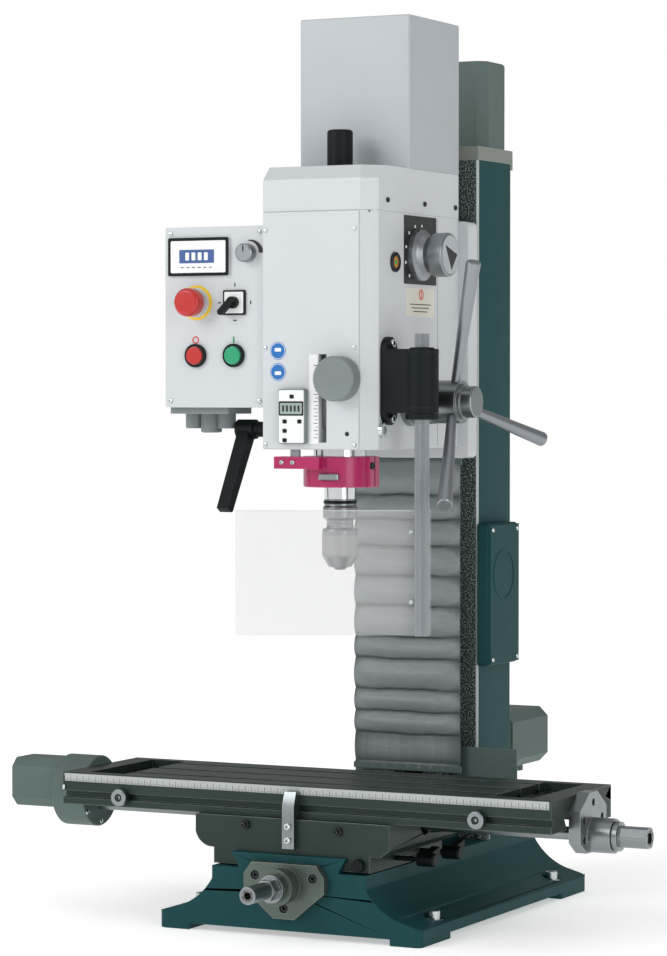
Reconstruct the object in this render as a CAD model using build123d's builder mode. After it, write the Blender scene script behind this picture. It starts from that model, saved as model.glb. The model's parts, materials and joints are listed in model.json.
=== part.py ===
"""Benchtop milling machine with powered X, Y and Z feeds.

Millimetres, +Z up, front towards -Y. The origin is the centre of the four
hold-down holes, on the underside of the base.
"""
from build123d import *
from math import cos, radians, sin, tan
import os

os.makedirs("parts", exist_ok=True)

# ---------------------------------------------------------------- fits
running_gap = 0.05      # radial clearance of a shaft in its hole
slide_gap = 0.06        # between the faces of a dovetail
clear_gap = 0.4         # between pieces that pass each other

# ---------------------------------------------------------------- base
base_length = 580.0
base_width = 403.0
foot_height = 24.0
foot_corner = 10.0      # rounding of the upright corners
foot_relief = 9.0       # how far the underside is raised between the pads
foot_pad = 95.0         # length of a corner pad
hold_pitch_x = 360.0
hold_pitch_y = 410.0
hold_radius = 7.0
body_width = 236.0
body_top = 92.0
flare_top = 74.0
flare_width = 332.0
flare_bottom = 34.0
base_wall = 16.0

dovetail_angle = 30.0
y_way_width = 176.0
y_way_height = 21.0
y_screw_z = 73.0
y_screw_radius = 9.0
y_slot_width = 58.0

# ---------------------------------------------------------------- column
column_width = 200.0
column_depth = 120.0
column_front = 119.0    # y of the front wall
column_height = 989.0
column_wall = 14.0
z_way_width = 128.0
z_way_depth = 24.0
z_slot_width = 44.0
z_screw_radius = 9.0
cap_height = 20.0

# ---------------------------------------------------------------- saddle and table
saddle_width = 298.0
saddle_length = 232.0
saddle_height = 48.0
saddle_leg = 32.0
table_rest_x = 6.0
table_y = -165.0
table_length = 750.0
table_width = 210.0
table_height = 45.0
x_way_width = 120.0
x_way_height = 16.0
x_screw_drop = 11.0     # screw axis below the underside of the table
x_screw_radius = 9.0
slot_count = 3
slot_pitch = 63.0
slot_neck = 12.0
slot_head = 20.0
slot_neck_depth = 10.0
slot_depth = 17.0
trough_width = 58.0
trough_depth = 14.0
table_end_rim = 34.0
table_side_rim = 15.0
stop_groove_height = 9.0
stop_groove_depth = 8.0
stop_radius = 12.0

# ---------------------------------------------------------------- feed drives
motor_side = 86.0
motor_length = 140.0
motor_corner = 14.0
drum_radius = 51.0
drum_length = 53.0
x_motor_length = 78.0
x_motor_side = 70.0
x_motor_corner = 12.0
drum_wall = 5.0
belt_width = 12.0
pulley_radius = 13.0
belt_thickness = 2.0

# ---------------------------------------------------------------- head
head_width = 170.0
head_front = -200.0
head_back = 83.0
head_bottom = 664.0
head_split = 994.0
head_top = 1057.0
head_wall = 9.0
corner_bevel = 19.0
hood_front = -85.0
hood_top = 1272.0
hood_wall = 2.5
cover_wall = 3.0
plate_thickness = 2.0
plate_margin = 20.0
spindle_y = -130.0
quill_radius = 37.5
quill_bottom = 611.0
quill_top = 850.0
quill_travel = 90.0
quill_boss_radius = 50.0
quill_boss_top = 880.0
spindle_radius = 16.0
spindle_top = 1030.0
hub_z = 730.0
pinion_radius = 10.0
depth_slot_x = 9.0
depth_slot_width = 12.0
depth_knob_x = 38.0
depth_knob_z = 762.0
depth_knob_radius = 31.0
slide_plate_width = 200.0
slide_plate_thickness = 31.0
slide_plate_bottom = 648.0
slide_plate_top = 990.0
tilt_z = 820.0
tilt_pin_radius = 20.0
bellows_width = 170.0
bellows_bottom = 190.0
bellows_thickness = 9.0

# ---------------------------------------------------------------- values that follow
undercut = tan(radians(dovetail_angle))
base_front = -base_length / 2
way_top = body_top + y_way_height
saddle_top = way_top + saddle_height
table_top = saddle_top + table_height
table_front = table_y - table_width / 2
table_left = table_rest_x - table_length / 2
table_right = table_rest_x + table_length / 2
x_screw_z = saddle_top - x_screw_drop
column_back = column_front + column_depth
column_top = body_top + column_height
z_way_front = column_front - z_way_depth
z_screw_y = column_front + column_wall + 32.0
saddle_front = table_front - 10.0
head_left = -head_width / 2
head_right = head_width / 2
slide_front = head_back
slide_back = slide_front + slide_plate_thickness
hub_y = spindle_y + quill_radius + pinion_radius + clear_gap


def block(x_from, x_to, y_from, y_to, z_from, z_to, mode=Mode.ADD):
    """A box between six faces."""
    middle = ((x_from + x_to) / 2, (y_from + y_to) / 2, (z_from + z_to) / 2)
    with Locations(middle):
        Box(abs(x_to - x_from), abs(y_to - y_from), abs(z_to - z_from), mode=mode)


def disc_x(x_from, x_to, y, z, radius, mode=Mode.ADD):
    """A cylinder along X."""
    with BuildSketch(Plane.YZ.offset(x_from)) as face:
        with Locations((y, z)):
            Circle(radius)
    extrude(face.sketch, amount=x_to - x_from, mode=mode)


def disc_y(y_from, y_to, x, z, radius, mode=Mode.ADD):
    """A cylinder along Y, from the higher y towards the front."""
    with BuildSketch(Plane.XZ.offset(-y_to)) as face:
        with Locations((x, z)):
            Circle(radius)
    extrude(face.sketch, amount=y_to - y_from, mode=mode)


def disc_z(z_from, z_to, x, y, radius, mode=Mode.ADD):
    """A cylinder along Z."""
    with BuildSketch(Plane.XY.offset(z_from)) as face:
        with Locations((x, y)):
            Circle(radius)
    extrude(face.sketch, amount=z_to - z_from, mode=mode)


def prism_x(points, x_from, x_to, mode=Mode.ADD):
    """A prism along X from an outline of (y, z) points."""
    with BuildSketch(Plane.YZ.offset(x_from)) as face:
        with BuildLine():
            Polyline(points, close=True)
        make_face()
    extrude(face.sketch, amount=x_to - x_from, mode=mode)


def prism_y(points, y_from, y_to, mode=Mode.ADD):
    """A prism along Y from an outline of (x, z) points."""
    with BuildSketch(Plane.XZ.offset(-y_to)) as face:
        with BuildLine():
            Polyline(points, close=True)
        make_face()
    extrude(face.sketch, amount=y_to - y_from, mode=mode)


def prism_z(points, z_from, z_to, mode=Mode.ADD):
    """A prism along Z from an outline of (x, y) points."""
    with BuildSketch(Plane.XY.offset(z_from)) as face:
        with BuildLine():
            Polyline(points, close=True)
        make_face()
    extrude(face.sketch, amount=z_to - z_from, mode=mode)


def dovetail(middle, low, width, height, gap=0.0):
    """Outline of a dovetail that is widest at its top, as (across, up) points."""
    top = width / 2 + gap
    root = top - height * undercut
    return [
        (middle - root, low),
        (middle + root, low),
        (middle + top, low + height),
        (middle - top, low + height),
    ]


def save(piece, name):
    """Label a finished piece and write it."""
    piece.part.label = name
    export_step(piece.part, f"parts/{name}.step")


# ================================================================ base
with BuildPart() as base_casting:
    with BuildSketch(Plane.XZ.offset(-base_length / 2)) as front_outline:
        with BuildLine():
            foot_edge = base_width / 2
            Polyline(
                (0, 0),
                (foot_edge, 0),
                (foot_edge, foot_height),
                (flare_width / 2, flare_bottom),
            )
            RadiusArc((flare_width / 2, flare_bottom), (body_width / 2, flare_top), 95)
            Polyline((body_width / 2, flare_top), (body_width / 2, body_top), (0, body_top), (0, 0))
        make_face()
        mirror(about=Plane.YZ)
    extrude(amount=base_length)
    upright = base_casting.edges().filter_by(Axis.Z)
    foot_corners = [edge for edge in upright if abs(edge.center().X) > foot_edge - 1]
    fillet(foot_corners, radius=foot_corner)
    prism_y(
        dovetail(0, body_top, y_way_width, y_way_height),
        base_front,
        z_way_front - clear_gap,
    )
    # the underside is open between the pads and inside the walls
    block(
        -base_width / 2 + foot_pad / 2,
        base_width / 2 - foot_pad / 2,
        base_front,
        -base_front,
        0,
        foot_relief,
        Mode.SUBTRACT,
    )
    block(
        -base_width / 2,
        base_width / 2,
        base_front + foot_pad,
        -base_front - foot_pad,
        0,
        foot_relief,
        Mode.SUBTRACT,
    )
    block(
        -body_width / 2 + base_wall,
        body_width / 2 - base_wall,
        base_front + base_wall,
        -base_front - base_wall,
        0,
        y_screw_z - y_screw_radius - base_wall,
        Mode.SUBTRACT,
    )
    # a channel for the cross screw, with a slot above it for its nut
    nut_channel_back = column_front - 60.0
    block(
        -y_slot_width / 2,
        y_slot_width / 2,
        base_front + 30.0,
        nut_channel_back,
        y_screw_z - y_screw_radius - base_wall,
        way_top,
        Mode.SUBTRACT,
    )
    disc_y(base_front, -base_front, 0, y_screw_z, y_screw_radius + 2.0, Mode.SUBTRACT)
    with Locations((0, 0, 0)):
        with GridLocations(hold_pitch_x, hold_pitch_y, 2, 2):
            Cylinder(
                hold_radius,
                2 * foot_height + 60,
                mode=Mode.SUBTRACT,
            )
    # flat seats for the washers round the hold-down holes
    with Locations((0, 0, foot_height)):
        with GridLocations(hold_pitch_x, hold_pitch_y, 2, 2):
            Cylinder(14, 60, align=(Align.CENTER, Align.CENTER, Align.MIN), mode=Mode.SUBTRACT)
save(base_casting, "base_casting")

flange_thickness = 12.0
flange_half = 61.5
flange_up = 30.0
flange_down = 46.0
boss_radius = 25.0
boss_length = 24.0
with BuildPart() as y_bearing_flange:
    prism_y(
        [
            (-flange_half + 12, y_screw_z + flange_up),
            (flange_half - 12, y_screw_z + flange_up),
            (flange_half, y_screw_z + flange_up - 16),
            (flange_half, y_screw_z - 8),
            (16, y_screw_z - flange_down),
            (-16, y_screw_z - flange_down),
            (-flange_half, y_screw_z - 8),
            (-flange_half, y_screw_z + flange_up - 16),
        ],
        base_front - flange_thickness,
        base_front,
    )
    flange_front = base_front - flange_thickness
    disc_y(flange_front - boss_length, flange_front, 0, y_screw_z, boss_radius)
    disc_y(
        flange_front - boss_length,
        base_front,
        0,
        y_screw_z,
        y_screw_radius + running_gap,
        Mode.SUBTRACT,
    )
    for across, up in ((-44, 12), (44, 12), (0, -31)):
        disc_y(flange_front - 1, base_front - 6, across, y_screw_z + up, 6.5, Mode.SUBTRACT)
save(y_bearing_flange, "y_bearing_flange")

# ================================================================ column
with BuildPart() as column:
    block(
        -column_width / 2,
        column_width / 2,
        column_front,
        column_back,
        body_top,
        column_top,
    )
    vertical_edges = column.edges().filter_by(Axis.Z)
    fillet(vertical_edges, radius=6)
    block(
        -body_width / 2,
        body_width / 2,
        column_front - 6,
        column_back + 12,
        body_top,
        body_top + 20,
    )
    prism_z(
        [
            (-z_way_width / 2 + z_way_depth * undercut, column_front),
            (z_way_width / 2 - z_way_depth * undercut, column_front),
            (z_way_width / 2, z_way_front),
            (-z_way_width / 2, z_way_front),
        ],
        body_top + 40,
        column_top - 6,
    )
    block(
        -column_width / 2 + column_wall,
        column_width / 2 - column_wall,
        column_front + column_wall,
        column_back - column_wall,
        body_top + column_wall,
        column_top,
        Mode.SUBTRACT,
    )
    block(
        -z_slot_width / 2,
        z_slot_width / 2,
        z_way_front,
        column_front + column_wall,
        body_top + 60,
        column_top - 30,
        Mode.SUBTRACT,
    )
save(column, "column")

z_motor_y = column_back + 74.0
cap_back = z_motor_y + motor_side / 2 + 4
cap_arm = motor_side / 2 + 6
cap_wall = 3.0
with BuildPart() as column_cap:
    block(
        -column_width / 2,
        column_width / 2,
        column_front,
        column_back + 4,
        column_top,
        column_top + cap_height,
    )
    block(-cap_arm, cap_arm, column_back, cap_back, column_top, column_top + cap_height)
    block(
        -cap_arm + cap_wall,
        cap_arm - cap_wall,
        column_front + cap_wall,
        cap_back - cap_wall,
        column_top + cap_wall,
        column_top + cap_height - cap_wall,
        Mode.SUBTRACT,
    )
    disc_z(
        column_top,
        column_top + cap_wall,
        0,
        z_screw_y,
        z_screw_radius + running_gap,
        Mode.SUBTRACT,
    )
    disc_z(
        column_top + cap_height - cap_wall,
        column_top + cap_height,
        0,
        z_motor_y,
        8.0,
        Mode.SUBTRACT,
    )
save(column_cap, "column_cap")

nut_length = 50.0
z_nut_z = (slide_plate_bottom + slide_plate_top) / 2
with BuildPart() as z_screw:
    disc_z(body_top + 30, column_top + cap_wall, 0, z_screw_y, z_screw_radius)
    disc_z(
        column_top + cap_wall,
        column_top + cap_wall + belt_width,
        0,
        z_screw_y,
        pulley_radius,
    )
save(z_screw, "z_screw")

with BuildPart() as z_motor:
    motor_bottom = column_top + cap_height
    block(
        -motor_side / 2,
        motor_side / 2,
        z_motor_y - motor_side / 2,
        z_motor_y + motor_side / 2,
        motor_bottom,
        motor_bottom + motor_length,
    )
    chamfer(z_motor.edges().filter_by(Axis.Z), length=motor_corner)
    chamfer(z_motor.faces().sort_by(Axis.Z)[-1].edges(), length=3)
    disc_z(motor_bottom - cap_height + cap_wall + 1, motor_bottom, 0, z_motor_y, 6.0)
    disc_z(
        column_top + cap_wall + 1,
        column_top + cap_wall + 1 + belt_width - 2,
        0,
        z_motor_y,
        pulley_radius,
    )
save(z_motor, "z_motor")

# ================================================================ rear drive of the cross screw
y_motor_z = y_screw_z + 134.0
housing_depth = 54.0
housing_half = 50.0
housing_wall = 4.0
housing_back = -base_front + housing_depth
with BuildPart() as y_drive_housing:
    block(
        -housing_half,
        housing_half,
        -base_front,
        housing_back,
        y_screw_z - 36,
        y_motor_z + 46,
    )
    fillet(y_drive_housing.edges().filter_by(Axis.Y), radius=12)
    block(
        -housing_half + housing_wall,
        housing_half - housing_wall,
        -base_front + housing_wall,
        housing_back - housing_wall,
        y_screw_z - 30,
        y_motor_z + 40,
        Mode.SUBTRACT,
    )
    disc_y(
        -base_front,
        -base_front + housing_wall,
        0,
        y_screw_z,
        y_screw_radius + running_gap,
        Mode.SUBTRACT,
    )
    disc_y(housing_back - housing_wall, housing_back, 0, y_motor_z, 8.0, Mode.SUBTRACT)
save(y_drive_housing, "y_drive_housing")

belt_front = -base_front + housing_wall + 8
with BuildPart() as y_motor:
    gearbox_length = 33.0
    block(-38, 38, housing_back, housing_back + gearbox_length, y_motor_z - 38, y_motor_z + 38)
    chamfer(y_motor.edges().filter_by(Axis.Y), length=8)
    with BuildSketch(Plane.XZ.offset(-(housing_back + gearbox_length))) as motor_face:
        with Locations((0, y_motor_z)):
            Rectangle(motor_side, motor_side)
        chamfer(motor_face.vertices(), length=motor_corner)
    extrude(motor_face.sketch, amount=-motor_length)
    chamfer(y_motor.faces().sort_by(Axis.Y)[-1].edges(), length=3)
    disc_y(belt_front, housing_back, 0, y_motor_z, 6.0)
    disc_y(belt_front, belt_front + belt_width, 0, y_motor_z, pulley_radius)
    disc_z(
        y_motor_z - motor_side / 2 - 14,
        y_motor_z - motor_side / 2 + 1,
        0,
        housing_back + gearbox_length + motor_length - 30,
        11.0,
    )
save(y_motor, "y_motor")

y_sleeve_front = flange_front - boss_length - 80.0
with BuildPart() as y_screw:
    collar_front = flange_front - boss_length - 14.0
    disc_y(collar_front, belt_front + belt_width, 0, y_screw_z, y_screw_radius)
    disc_y(belt_front, belt_front + belt_width, 0, y_screw_z, pulley_radius)
    disc_y(collar_front, flange_front - boss_length - clear_gap, 0, y_screw_z, 19.0)
    with BuildSketch(Plane.XZ.offset(-collar_front)) as hex_nut:
        with Locations((0, y_screw_z)):
            RegularPolygon(15.5, 6)
    extrude(hex_nut.sketch, amount=16)
    disc_y(y_sleeve_front, collar_front, 0, y_screw_z, 12.0)
    disc_y(y_sleeve_front, y_sleeve_front + 30, 0, y_screw_z, 5.0, Mode.SUBTRACT)
save(y_screw, "y_screw")


def belt_outline(low, high, radius):
    """Outline of a loop round two equal pulleys, one above the other."""
    with Locations((low + high) / 2):
        SlotCenterToCenter((high - low).length, 2 * radius, rotation=90)


with BuildPart() as axis_belts:
    with BuildSketch(Plane.XZ.offset(-(belt_front + belt_width - 1))) as y_loop:
        belt_outline(
            Vector(0, y_screw_z),
            Vector(0, y_motor_z),
            pulley_radius + belt_thickness + clear_gap,
        )
        offset(amount=-belt_thickness, mode=Mode.SUBTRACT)
    extrude(y_loop.sketch, amount=belt_width - 2)
    with BuildSketch(Plane.XY.offset(column_top + cap_wall + 2)) as z_loop:
        belt_outline(
            Vector(0, z_screw_y),
            Vector(0, z_motor_y),
            pulley_radius + belt_thickness + clear_gap,
        )
        offset(amount=-belt_thickness, mode=Mode.SUBTRACT)
    extrude(z_loop.sketch, amount=belt_width - 4)
save(axis_belts, "axis_belts")

# ================================================================ electrics on the column
junction_front = column_front - 3.0
junction_length = 106.0
junction_bottom = 345.0
junction_height = 207.0
junction_depth = 16.0
lid_thickness = 5.0
lid_inset = 2.0
with BuildPart() as junction_box:
    lid_start = column_width / 2 + junction_depth
    block(
        column_width / 2,
        lid_start,
        junction_front,
        junction_front + junction_length,
        junction_bottom,
        junction_bottom + junction_height,
    )
    fillet(junction_box.edges().filter_by(Axis.X), radius=5)
    block(
        lid_start,
        lid_start + lid_thickness,
        junction_front + lid_inset,
        junction_front + junction_length - lid_inset,
        junction_bottom + lid_inset,
        junction_bottom + junction_height - lid_inset,
    )
save(junction_box, "junction_box")

sheet_thickness = 2.0
sheet_left = -90.0
sheet_right = 170.0
with BuildPart() as rear_sheet:
    sheet_y = z_way_front + 6
    block(
        sheet_left,
        sheet_right,
        sheet_y,
        sheet_y + sheet_thickness,
        body_top + 20,
        228,
    )
    block(sheet_left, sheet_right, sheet_y, column_front, body_top + 20, body_top + 22)
    block(
        -z_way_width / 2 - 2,
        z_way_width / 2 + 2,
        sheet_y - 1,
        column_front + 1,
        body_top + 24,
        260,
        Mode.SUBTRACT,
    )
save(rear_sheet, "rear_sheet")

with BuildPart() as bellows:
    block(
        -bellows_width / 2,
        bellows_width / 2,
        slide_front + 1.5,
        slide_front + 1.5 + bellows_thickness,
        bellows_bottom,
        slide_plate_bottom - clear_gap,
    )
save(bellows, "bellows")

# ================================================================ saddle
leg_bottom = body_top + 2
saddle_back = saddle_front + saddle_length
leg_outer = y_way_width / 2 + saddle_leg
knob_x = y_way_width / 2 + saddle_leg / 2
knob_z = leg_bottom + 10
knob_shank = 3.0
knob_depth = 18.0
lever_z = way_top - 7
lever_shank = 3.5
lever_depth = 16.0
lever_reach = 35.0
lever_places = {"front": saddle_front + 80, "rear": saddle_front + 162}
with BuildPart() as saddle:
    with BuildSketch(Plane.XZ.offset(-saddle_back)) as saddle_outline:
        with BuildLine():
            edge = saddle_width / 2
            Polyline(
                (-leg_outer, way_top + 3),
                (-leg_outer, leg_bottom),
                (leg_outer, leg_bottom),
                (leg_outer, way_top + 3),
                (edge - 14, way_top + 3),
                (edge, way_top + 13),
                (edge, saddle_top),
                (-edge, saddle_top),
                (-edge, way_top + 24),
            )
            RadiusArc((-edge, way_top + 24), (-leg_outer, way_top + 3), -27)
        make_face()
    extrude(saddle_outline.sketch, amount=saddle_length)
    prism_y(
        dovetail(0, body_top, y_way_width, y_way_height, slide_gap),
        saddle_front,
        saddle_back,
        Mode.SUBTRACT,
    )
    prism_x(
        dovetail(table_y, saddle_top, x_way_width, x_way_height),
        -saddle_width / 2,
        saddle_width / 2,
    )
    disc_x(
        -saddle_width / 2,
        saddle_width / 2,
        table_y,
        x_screw_z,
        x_screw_radius + 6,
        Mode.SUBTRACT,
    )
    disc_y(
        saddle_front,
        saddle_front + knob_depth + 1,
        knob_x,
        knob_z,
        knob_shank + running_gap,
        Mode.SUBTRACT,
    )
    for lever_y in lever_places.values():
        disc_x(
            leg_outer - lever_depth - 1,
            leg_outer,
            lever_y,
            lever_z,
            lever_shank + running_gap,
            Mode.SUBTRACT,
        )
save(saddle, "saddle")

with BuildPart() as feed_nuts:
    y_nut_y = table_y + 30
    block(
        -y_slot_width / 2 + 5,
        y_slot_width / 2 - 5,
        y_nut_y - nut_length / 2,
        y_nut_y + nut_length / 2,
        y_screw_z - y_screw_radius - 7,
        way_top,
    )
    disc_y(
        y_nut_y - nut_length / 2,
        y_nut_y + nut_length / 2,
        0,
        y_screw_z,
        y_screw_radius + running_gap,
        Mode.SUBTRACT,
    )
    disc_x(-35, 35, table_y, x_screw_z, x_screw_radius + 6 - running_gap)
    disc_x(-35, 35, table_y, x_screw_z, x_screw_radius + running_gap, Mode.SUBTRACT)
save(feed_nuts, "feed_nuts")

with BuildPart() as pointer_bracket:
    pointer_back = saddle_front
    prism_x(
        [
            (pointer_back, way_top + 8),
            (pointer_back - 9, way_top + 8),
            (pointer_back - 9, saddle_top + 19),
            (pointer_back - 2, table_top - 7),
            (table_front - clear_gap, table_top - 7),
            (table_front - clear_gap, saddle_top + 10),
            (pointer_back, saddle_top + clear_gap),
        ],
        -9,
        9,
    )
save(pointer_bracket, "pointer_bracket")

with BuildPart() as saddle_knob:
    disc_y(saddle_front - 9, saddle_front - clear_gap, knob_x, knob_z, 9.0)
    chamfer(saddle_knob.edges().filter_by(GeomType.CIRCLE), length=1)
    disc_y(saddle_front - 1, saddle_front + knob_depth, knob_x, knob_z, knob_shank)
save(saddle_knob, "saddle_knob")

for place, lever_y in lever_places.items():
    with BuildPart() as lock_lever:
        hub_start = leg_outer + lever_reach
        disc_x(leg_outer - lever_depth, hub_start, lever_y, lever_z, lever_shank)
        disc_x(hub_start, hub_start + 26, lever_y, lever_z, 9.5)
        chamfer(lock_lever.faces().sort_by(Axis.X)[-1].edges(), length=2)
        prism_x(
            [
                (lever_y, lever_z - 6),
                (lever_y + 32, lever_z + 6),
                (lever_y + 30, lever_z + 15),
                (lever_y, lever_z + 8),
            ],
            hub_start + 6,
            hub_start + 18,
        )
    save(lock_lever, f"lock_lever_{place}")

# ================================================================ table
slot_places = [table_y + (index - (slot_count - 1) / 2) * slot_pitch for index in range(slot_count)]
trough_outer = table_length / 2 - table_end_rim
trough_inner = trough_outer - trough_width
stop_z = saddle_top + 10 + stop_groove_height / 2
with BuildPart() as table:
    block(
        table_left,
        table_right,
        table_front,
        table_front + table_width,
        saddle_top,
        table_top,
    )
    fillet(table.edges().filter_by(Axis.X).group_by(Axis.Z)[-1], radius=2)
    prism_x(
        dovetail(table_y, saddle_top, x_way_width, x_way_height, slide_gap),
        table_left,
        table_right,
        Mode.SUBTRACT,
    )
    block(
        table_left,
        table_right,
        table_y - x_way_width / 2 + 4,
        table_y + x_way_width / 2 - 4,
        saddle_top + x_way_height - 1,
        saddle_top + x_way_height + 0.5,
        Mode.SUBTRACT,
    )
    for slot_y in slot_places:
        block(
            table_rest_x - trough_inner - 2,
            table_rest_x + trough_inner + 2,
            slot_y - slot_neck / 2,
            slot_y + slot_neck / 2,
            table_top - slot_depth,
            table_top,
            Mode.SUBTRACT,
        )
        block(
            table_rest_x - trough_inner - 2,
            table_rest_x + trough_inner + 2,
            slot_y - slot_head / 2,
            slot_y + slot_head / 2,
            table_top - slot_depth,
            table_top - slot_neck_depth,
            Mode.SUBTRACT,
        )
    for side in (-1, 1):
        block(
            table_rest_x + side * trough_inner,
            table_rest_x + side * trough_outer,
            table_front + table_side_rim,
            table_front + table_width - table_side_rim,
            table_top - trough_depth,
            table_top,
            Mode.SUBTRACT,
        )
    block(
        table_left,
        table_right,
        table_front,
        table_front + stop_groove_depth,
        stop_z - stop_groove_height / 2,
        stop_z + stop_groove_height / 2,
        Mode.SUBTRACT,
    )
save(table, "table")

stop_places = {"left": table_left + 97, "right": table_right - 105}
for place, stop_x in stop_places.items():
    with BuildPart() as stop_collar:
        disc_y(
            table_front - 12,
            table_front - clear_gap,
            stop_x,
            stop_z,
            stop_radius,
        )
        chamfer(stop_collar.edges().filter_by(GeomType.CIRCLE), length=1)
        disc_y(table_front - 13, table_front - 8, stop_x, stop_z, 5.5, Mode.SUBTRACT)
        disc_y(
            table_front - 9,
            table_front + stop_groove_depth - clear_gap,
            stop_x,
            stop_z,
            stop_groove_height / 2 - clear_gap,
        )
    save(stop_collar, f"stop_collar_{place}")

x_flange_thickness = 17.0
x_flange_half = 46.0
x_boss_length = 32.0
x_boss_radius = 23.5
with BuildPart() as x_bearing_flange:
    prism_x(
        [
            (table_y - 22, x_screw_z - 23),
            (table_y + 22, x_screw_z - 23),
            (table_y + x_flange_half, x_screw_z - 7),
            (table_y + x_flange_half, table_top - 20),
            (table_y + 14, table_top + 2),
            (table_y - 14, table_top + 2),
            (table_y - x_flange_half, table_top - 20),
            (table_y - x_flange_half, x_screw_z - 7),
        ],
        table_right,
        table_right + x_flange_thickness,
    )
    boss_start = table_right + x_flange_thickness
    disc_x(boss_start, boss_start + x_boss_length, table_y, x_screw_z, x_boss_radius)
    disc_x(
        table_right,
        boss_start + x_boss_length,
        table_y,
        x_screw_z,
        x_screw_radius + running_gap,
        Mode.SUBTRACT,
    )
    for across, up in ((-31, 22), (31, 22), (0, 44), (-31, -4), (31, -4)):
        disc_x(
            table_right + 8,
            boss_start,
            table_y + across,
            x_screw_z + up,
            5.0,
            Mode.SUBTRACT,
        )
save(x_bearing_flange, "x_bearing_flange")

drum_z = x_screw_z + 18
x_motor_z = x_screw_z + 28
drum_left = table_left - drum_length
with BuildPart() as x_drive_housing:
    disc_x(drum_left, table_left, table_y, drum_z, drum_radius)
    chamfer(x_drive_housing.edges().filter_by(GeomType.CIRCLE), length=1.5)
    disc_x(
        drum_left + drum_wall,
        table_left - drum_wall,
        table_y,
        drum_z,
        drum_radius - drum_wall,
        Mode.SUBTRACT,
    )
    disc_x(
        table_left - drum_wall,
        table_left,
        table_y,
        x_screw_z,
        x_screw_radius + running_gap,
        Mode.SUBTRACT,
    )
    disc_x(drum_left, drum_left + drum_wall, table_y, x_motor_z, 8.0, Mode.SUBTRACT)
save(x_drive_housing, "x_drive_housing")

x_belt_start = drum_left + drum_wall + 6
x_pulley_radius = 12.0
with BuildPart() as x_motor:
    block(
        drum_left - x_motor_length,
        drum_left,
        table_y - x_motor_side / 2,
        table_y + x_motor_side / 2,
        x_motor_z - x_motor_side / 2,
        x_motor_z + x_motor_side / 2,
    )
    chamfer(x_motor.edges().filter_by(Axis.X), length=x_motor_corner)
    chamfer(x_motor.faces().sort_by(Axis.X)[0].edges(), length=3)
    disc_x(drum_left, x_belt_start + belt_width, table_y, x_motor_z, 6.0)
    disc_x(x_belt_start, x_belt_start + belt_width, table_y, x_motor_z, x_pulley_radius)
save(x_motor, "x_motor")

x_collar_start = boss_start + x_boss_length
x_sleeve_length = 41.0
with BuildPart() as x_screw:
    disc_x(x_belt_start, x_collar_start, table_y, x_screw_z, x_screw_radius)
    disc_x(x_belt_start, x_belt_start + belt_width, table_y, x_screw_z, x_pulley_radius)
    disc_x(
        x_collar_start + clear_gap,
        x_collar_start + 8,
        table_y,
        x_screw_z,
        20.0,
    )
    disc_x(x_collar_start - 1, x_collar_start + 8, table_y, x_screw_z, x_screw_radius)
    with BuildSketch(Plane.YZ.offset(x_collar_start + 8)) as sleeve:
        with Locations((table_y, x_screw_z)):
            RegularPolygon(16.0, 6)
            Circle(15.0, mode=Mode.INTERSECT)
    extrude(sleeve.sketch, amount=x_sleeve_length)
    sleeve_end = x_collar_start + 8 + x_sleeve_length
    disc_x(sleeve_end - 24, sleeve_end, table_y, x_screw_z, 8.0, Mode.SUBTRACT)
save(x_screw, "x_screw")

with BuildPart() as x_belt:
    with BuildSketch(Plane.YZ.offset(x_belt_start + 1)) as x_loop:
        with Locations((table_y, (x_screw_z + x_motor_z) / 2)):
            SlotCenterToCenter(
                x_motor_z - x_screw_z,
                2 * (x_pulley_radius + belt_thickness + clear_gap),
                rotation=90,
            )
        offset(amount=-belt_thickness, mode=Mode.SUBTRACT)
    extrude(x_loop.sketch, amount=belt_width - 2)
save(x_belt, "x_belt")

# ================================================================ vertical slide
with BuildPart() as z_slide:
    block(
        -slide_plate_width / 2,
        slide_plate_width / 2,
        slide_front,
        slide_back,
        slide_plate_bottom,
        slide_plate_top,
    )
    fillet(z_slide.edges().filter_by(Axis.Y), radius=8)
    root = z_way_width / 2 + slide_gap
    prism_z(
        [
            (-root, z_way_front - slide_gap),
            (root, z_way_front - slide_gap),
            (root - (slide_back - z_way_front) * undercut, slide_back),
            (-root + (slide_back - z_way_front) * undercut, slide_back),
        ],
        slide_plate_bottom,
        slide_plate_top,
        Mode.SUBTRACT,
    )
    disc_y(slide_front - 8, slide_front, 0, tilt_z, tilt_pin_radius)
save(z_slide, "z_slide")

with BuildPart() as z_nut:
    nut_half = z_slot_width / 2 - 3
    block(
        -nut_half,
        nut_half,
        z_way_front - slide_gap,
        z_screw_y + 18,
        z_nut_z - nut_length / 2,
        z_nut_z + nut_length / 2,
    )
    disc_z(
        z_nut_z - nut_length / 2,
        z_nut_z + nut_length / 2,
        0,
        z_screw_y,
        z_screw_radius + running_gap,
        Mode.SUBTRACT,
    )
save(z_nut, "z_nut")

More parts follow.
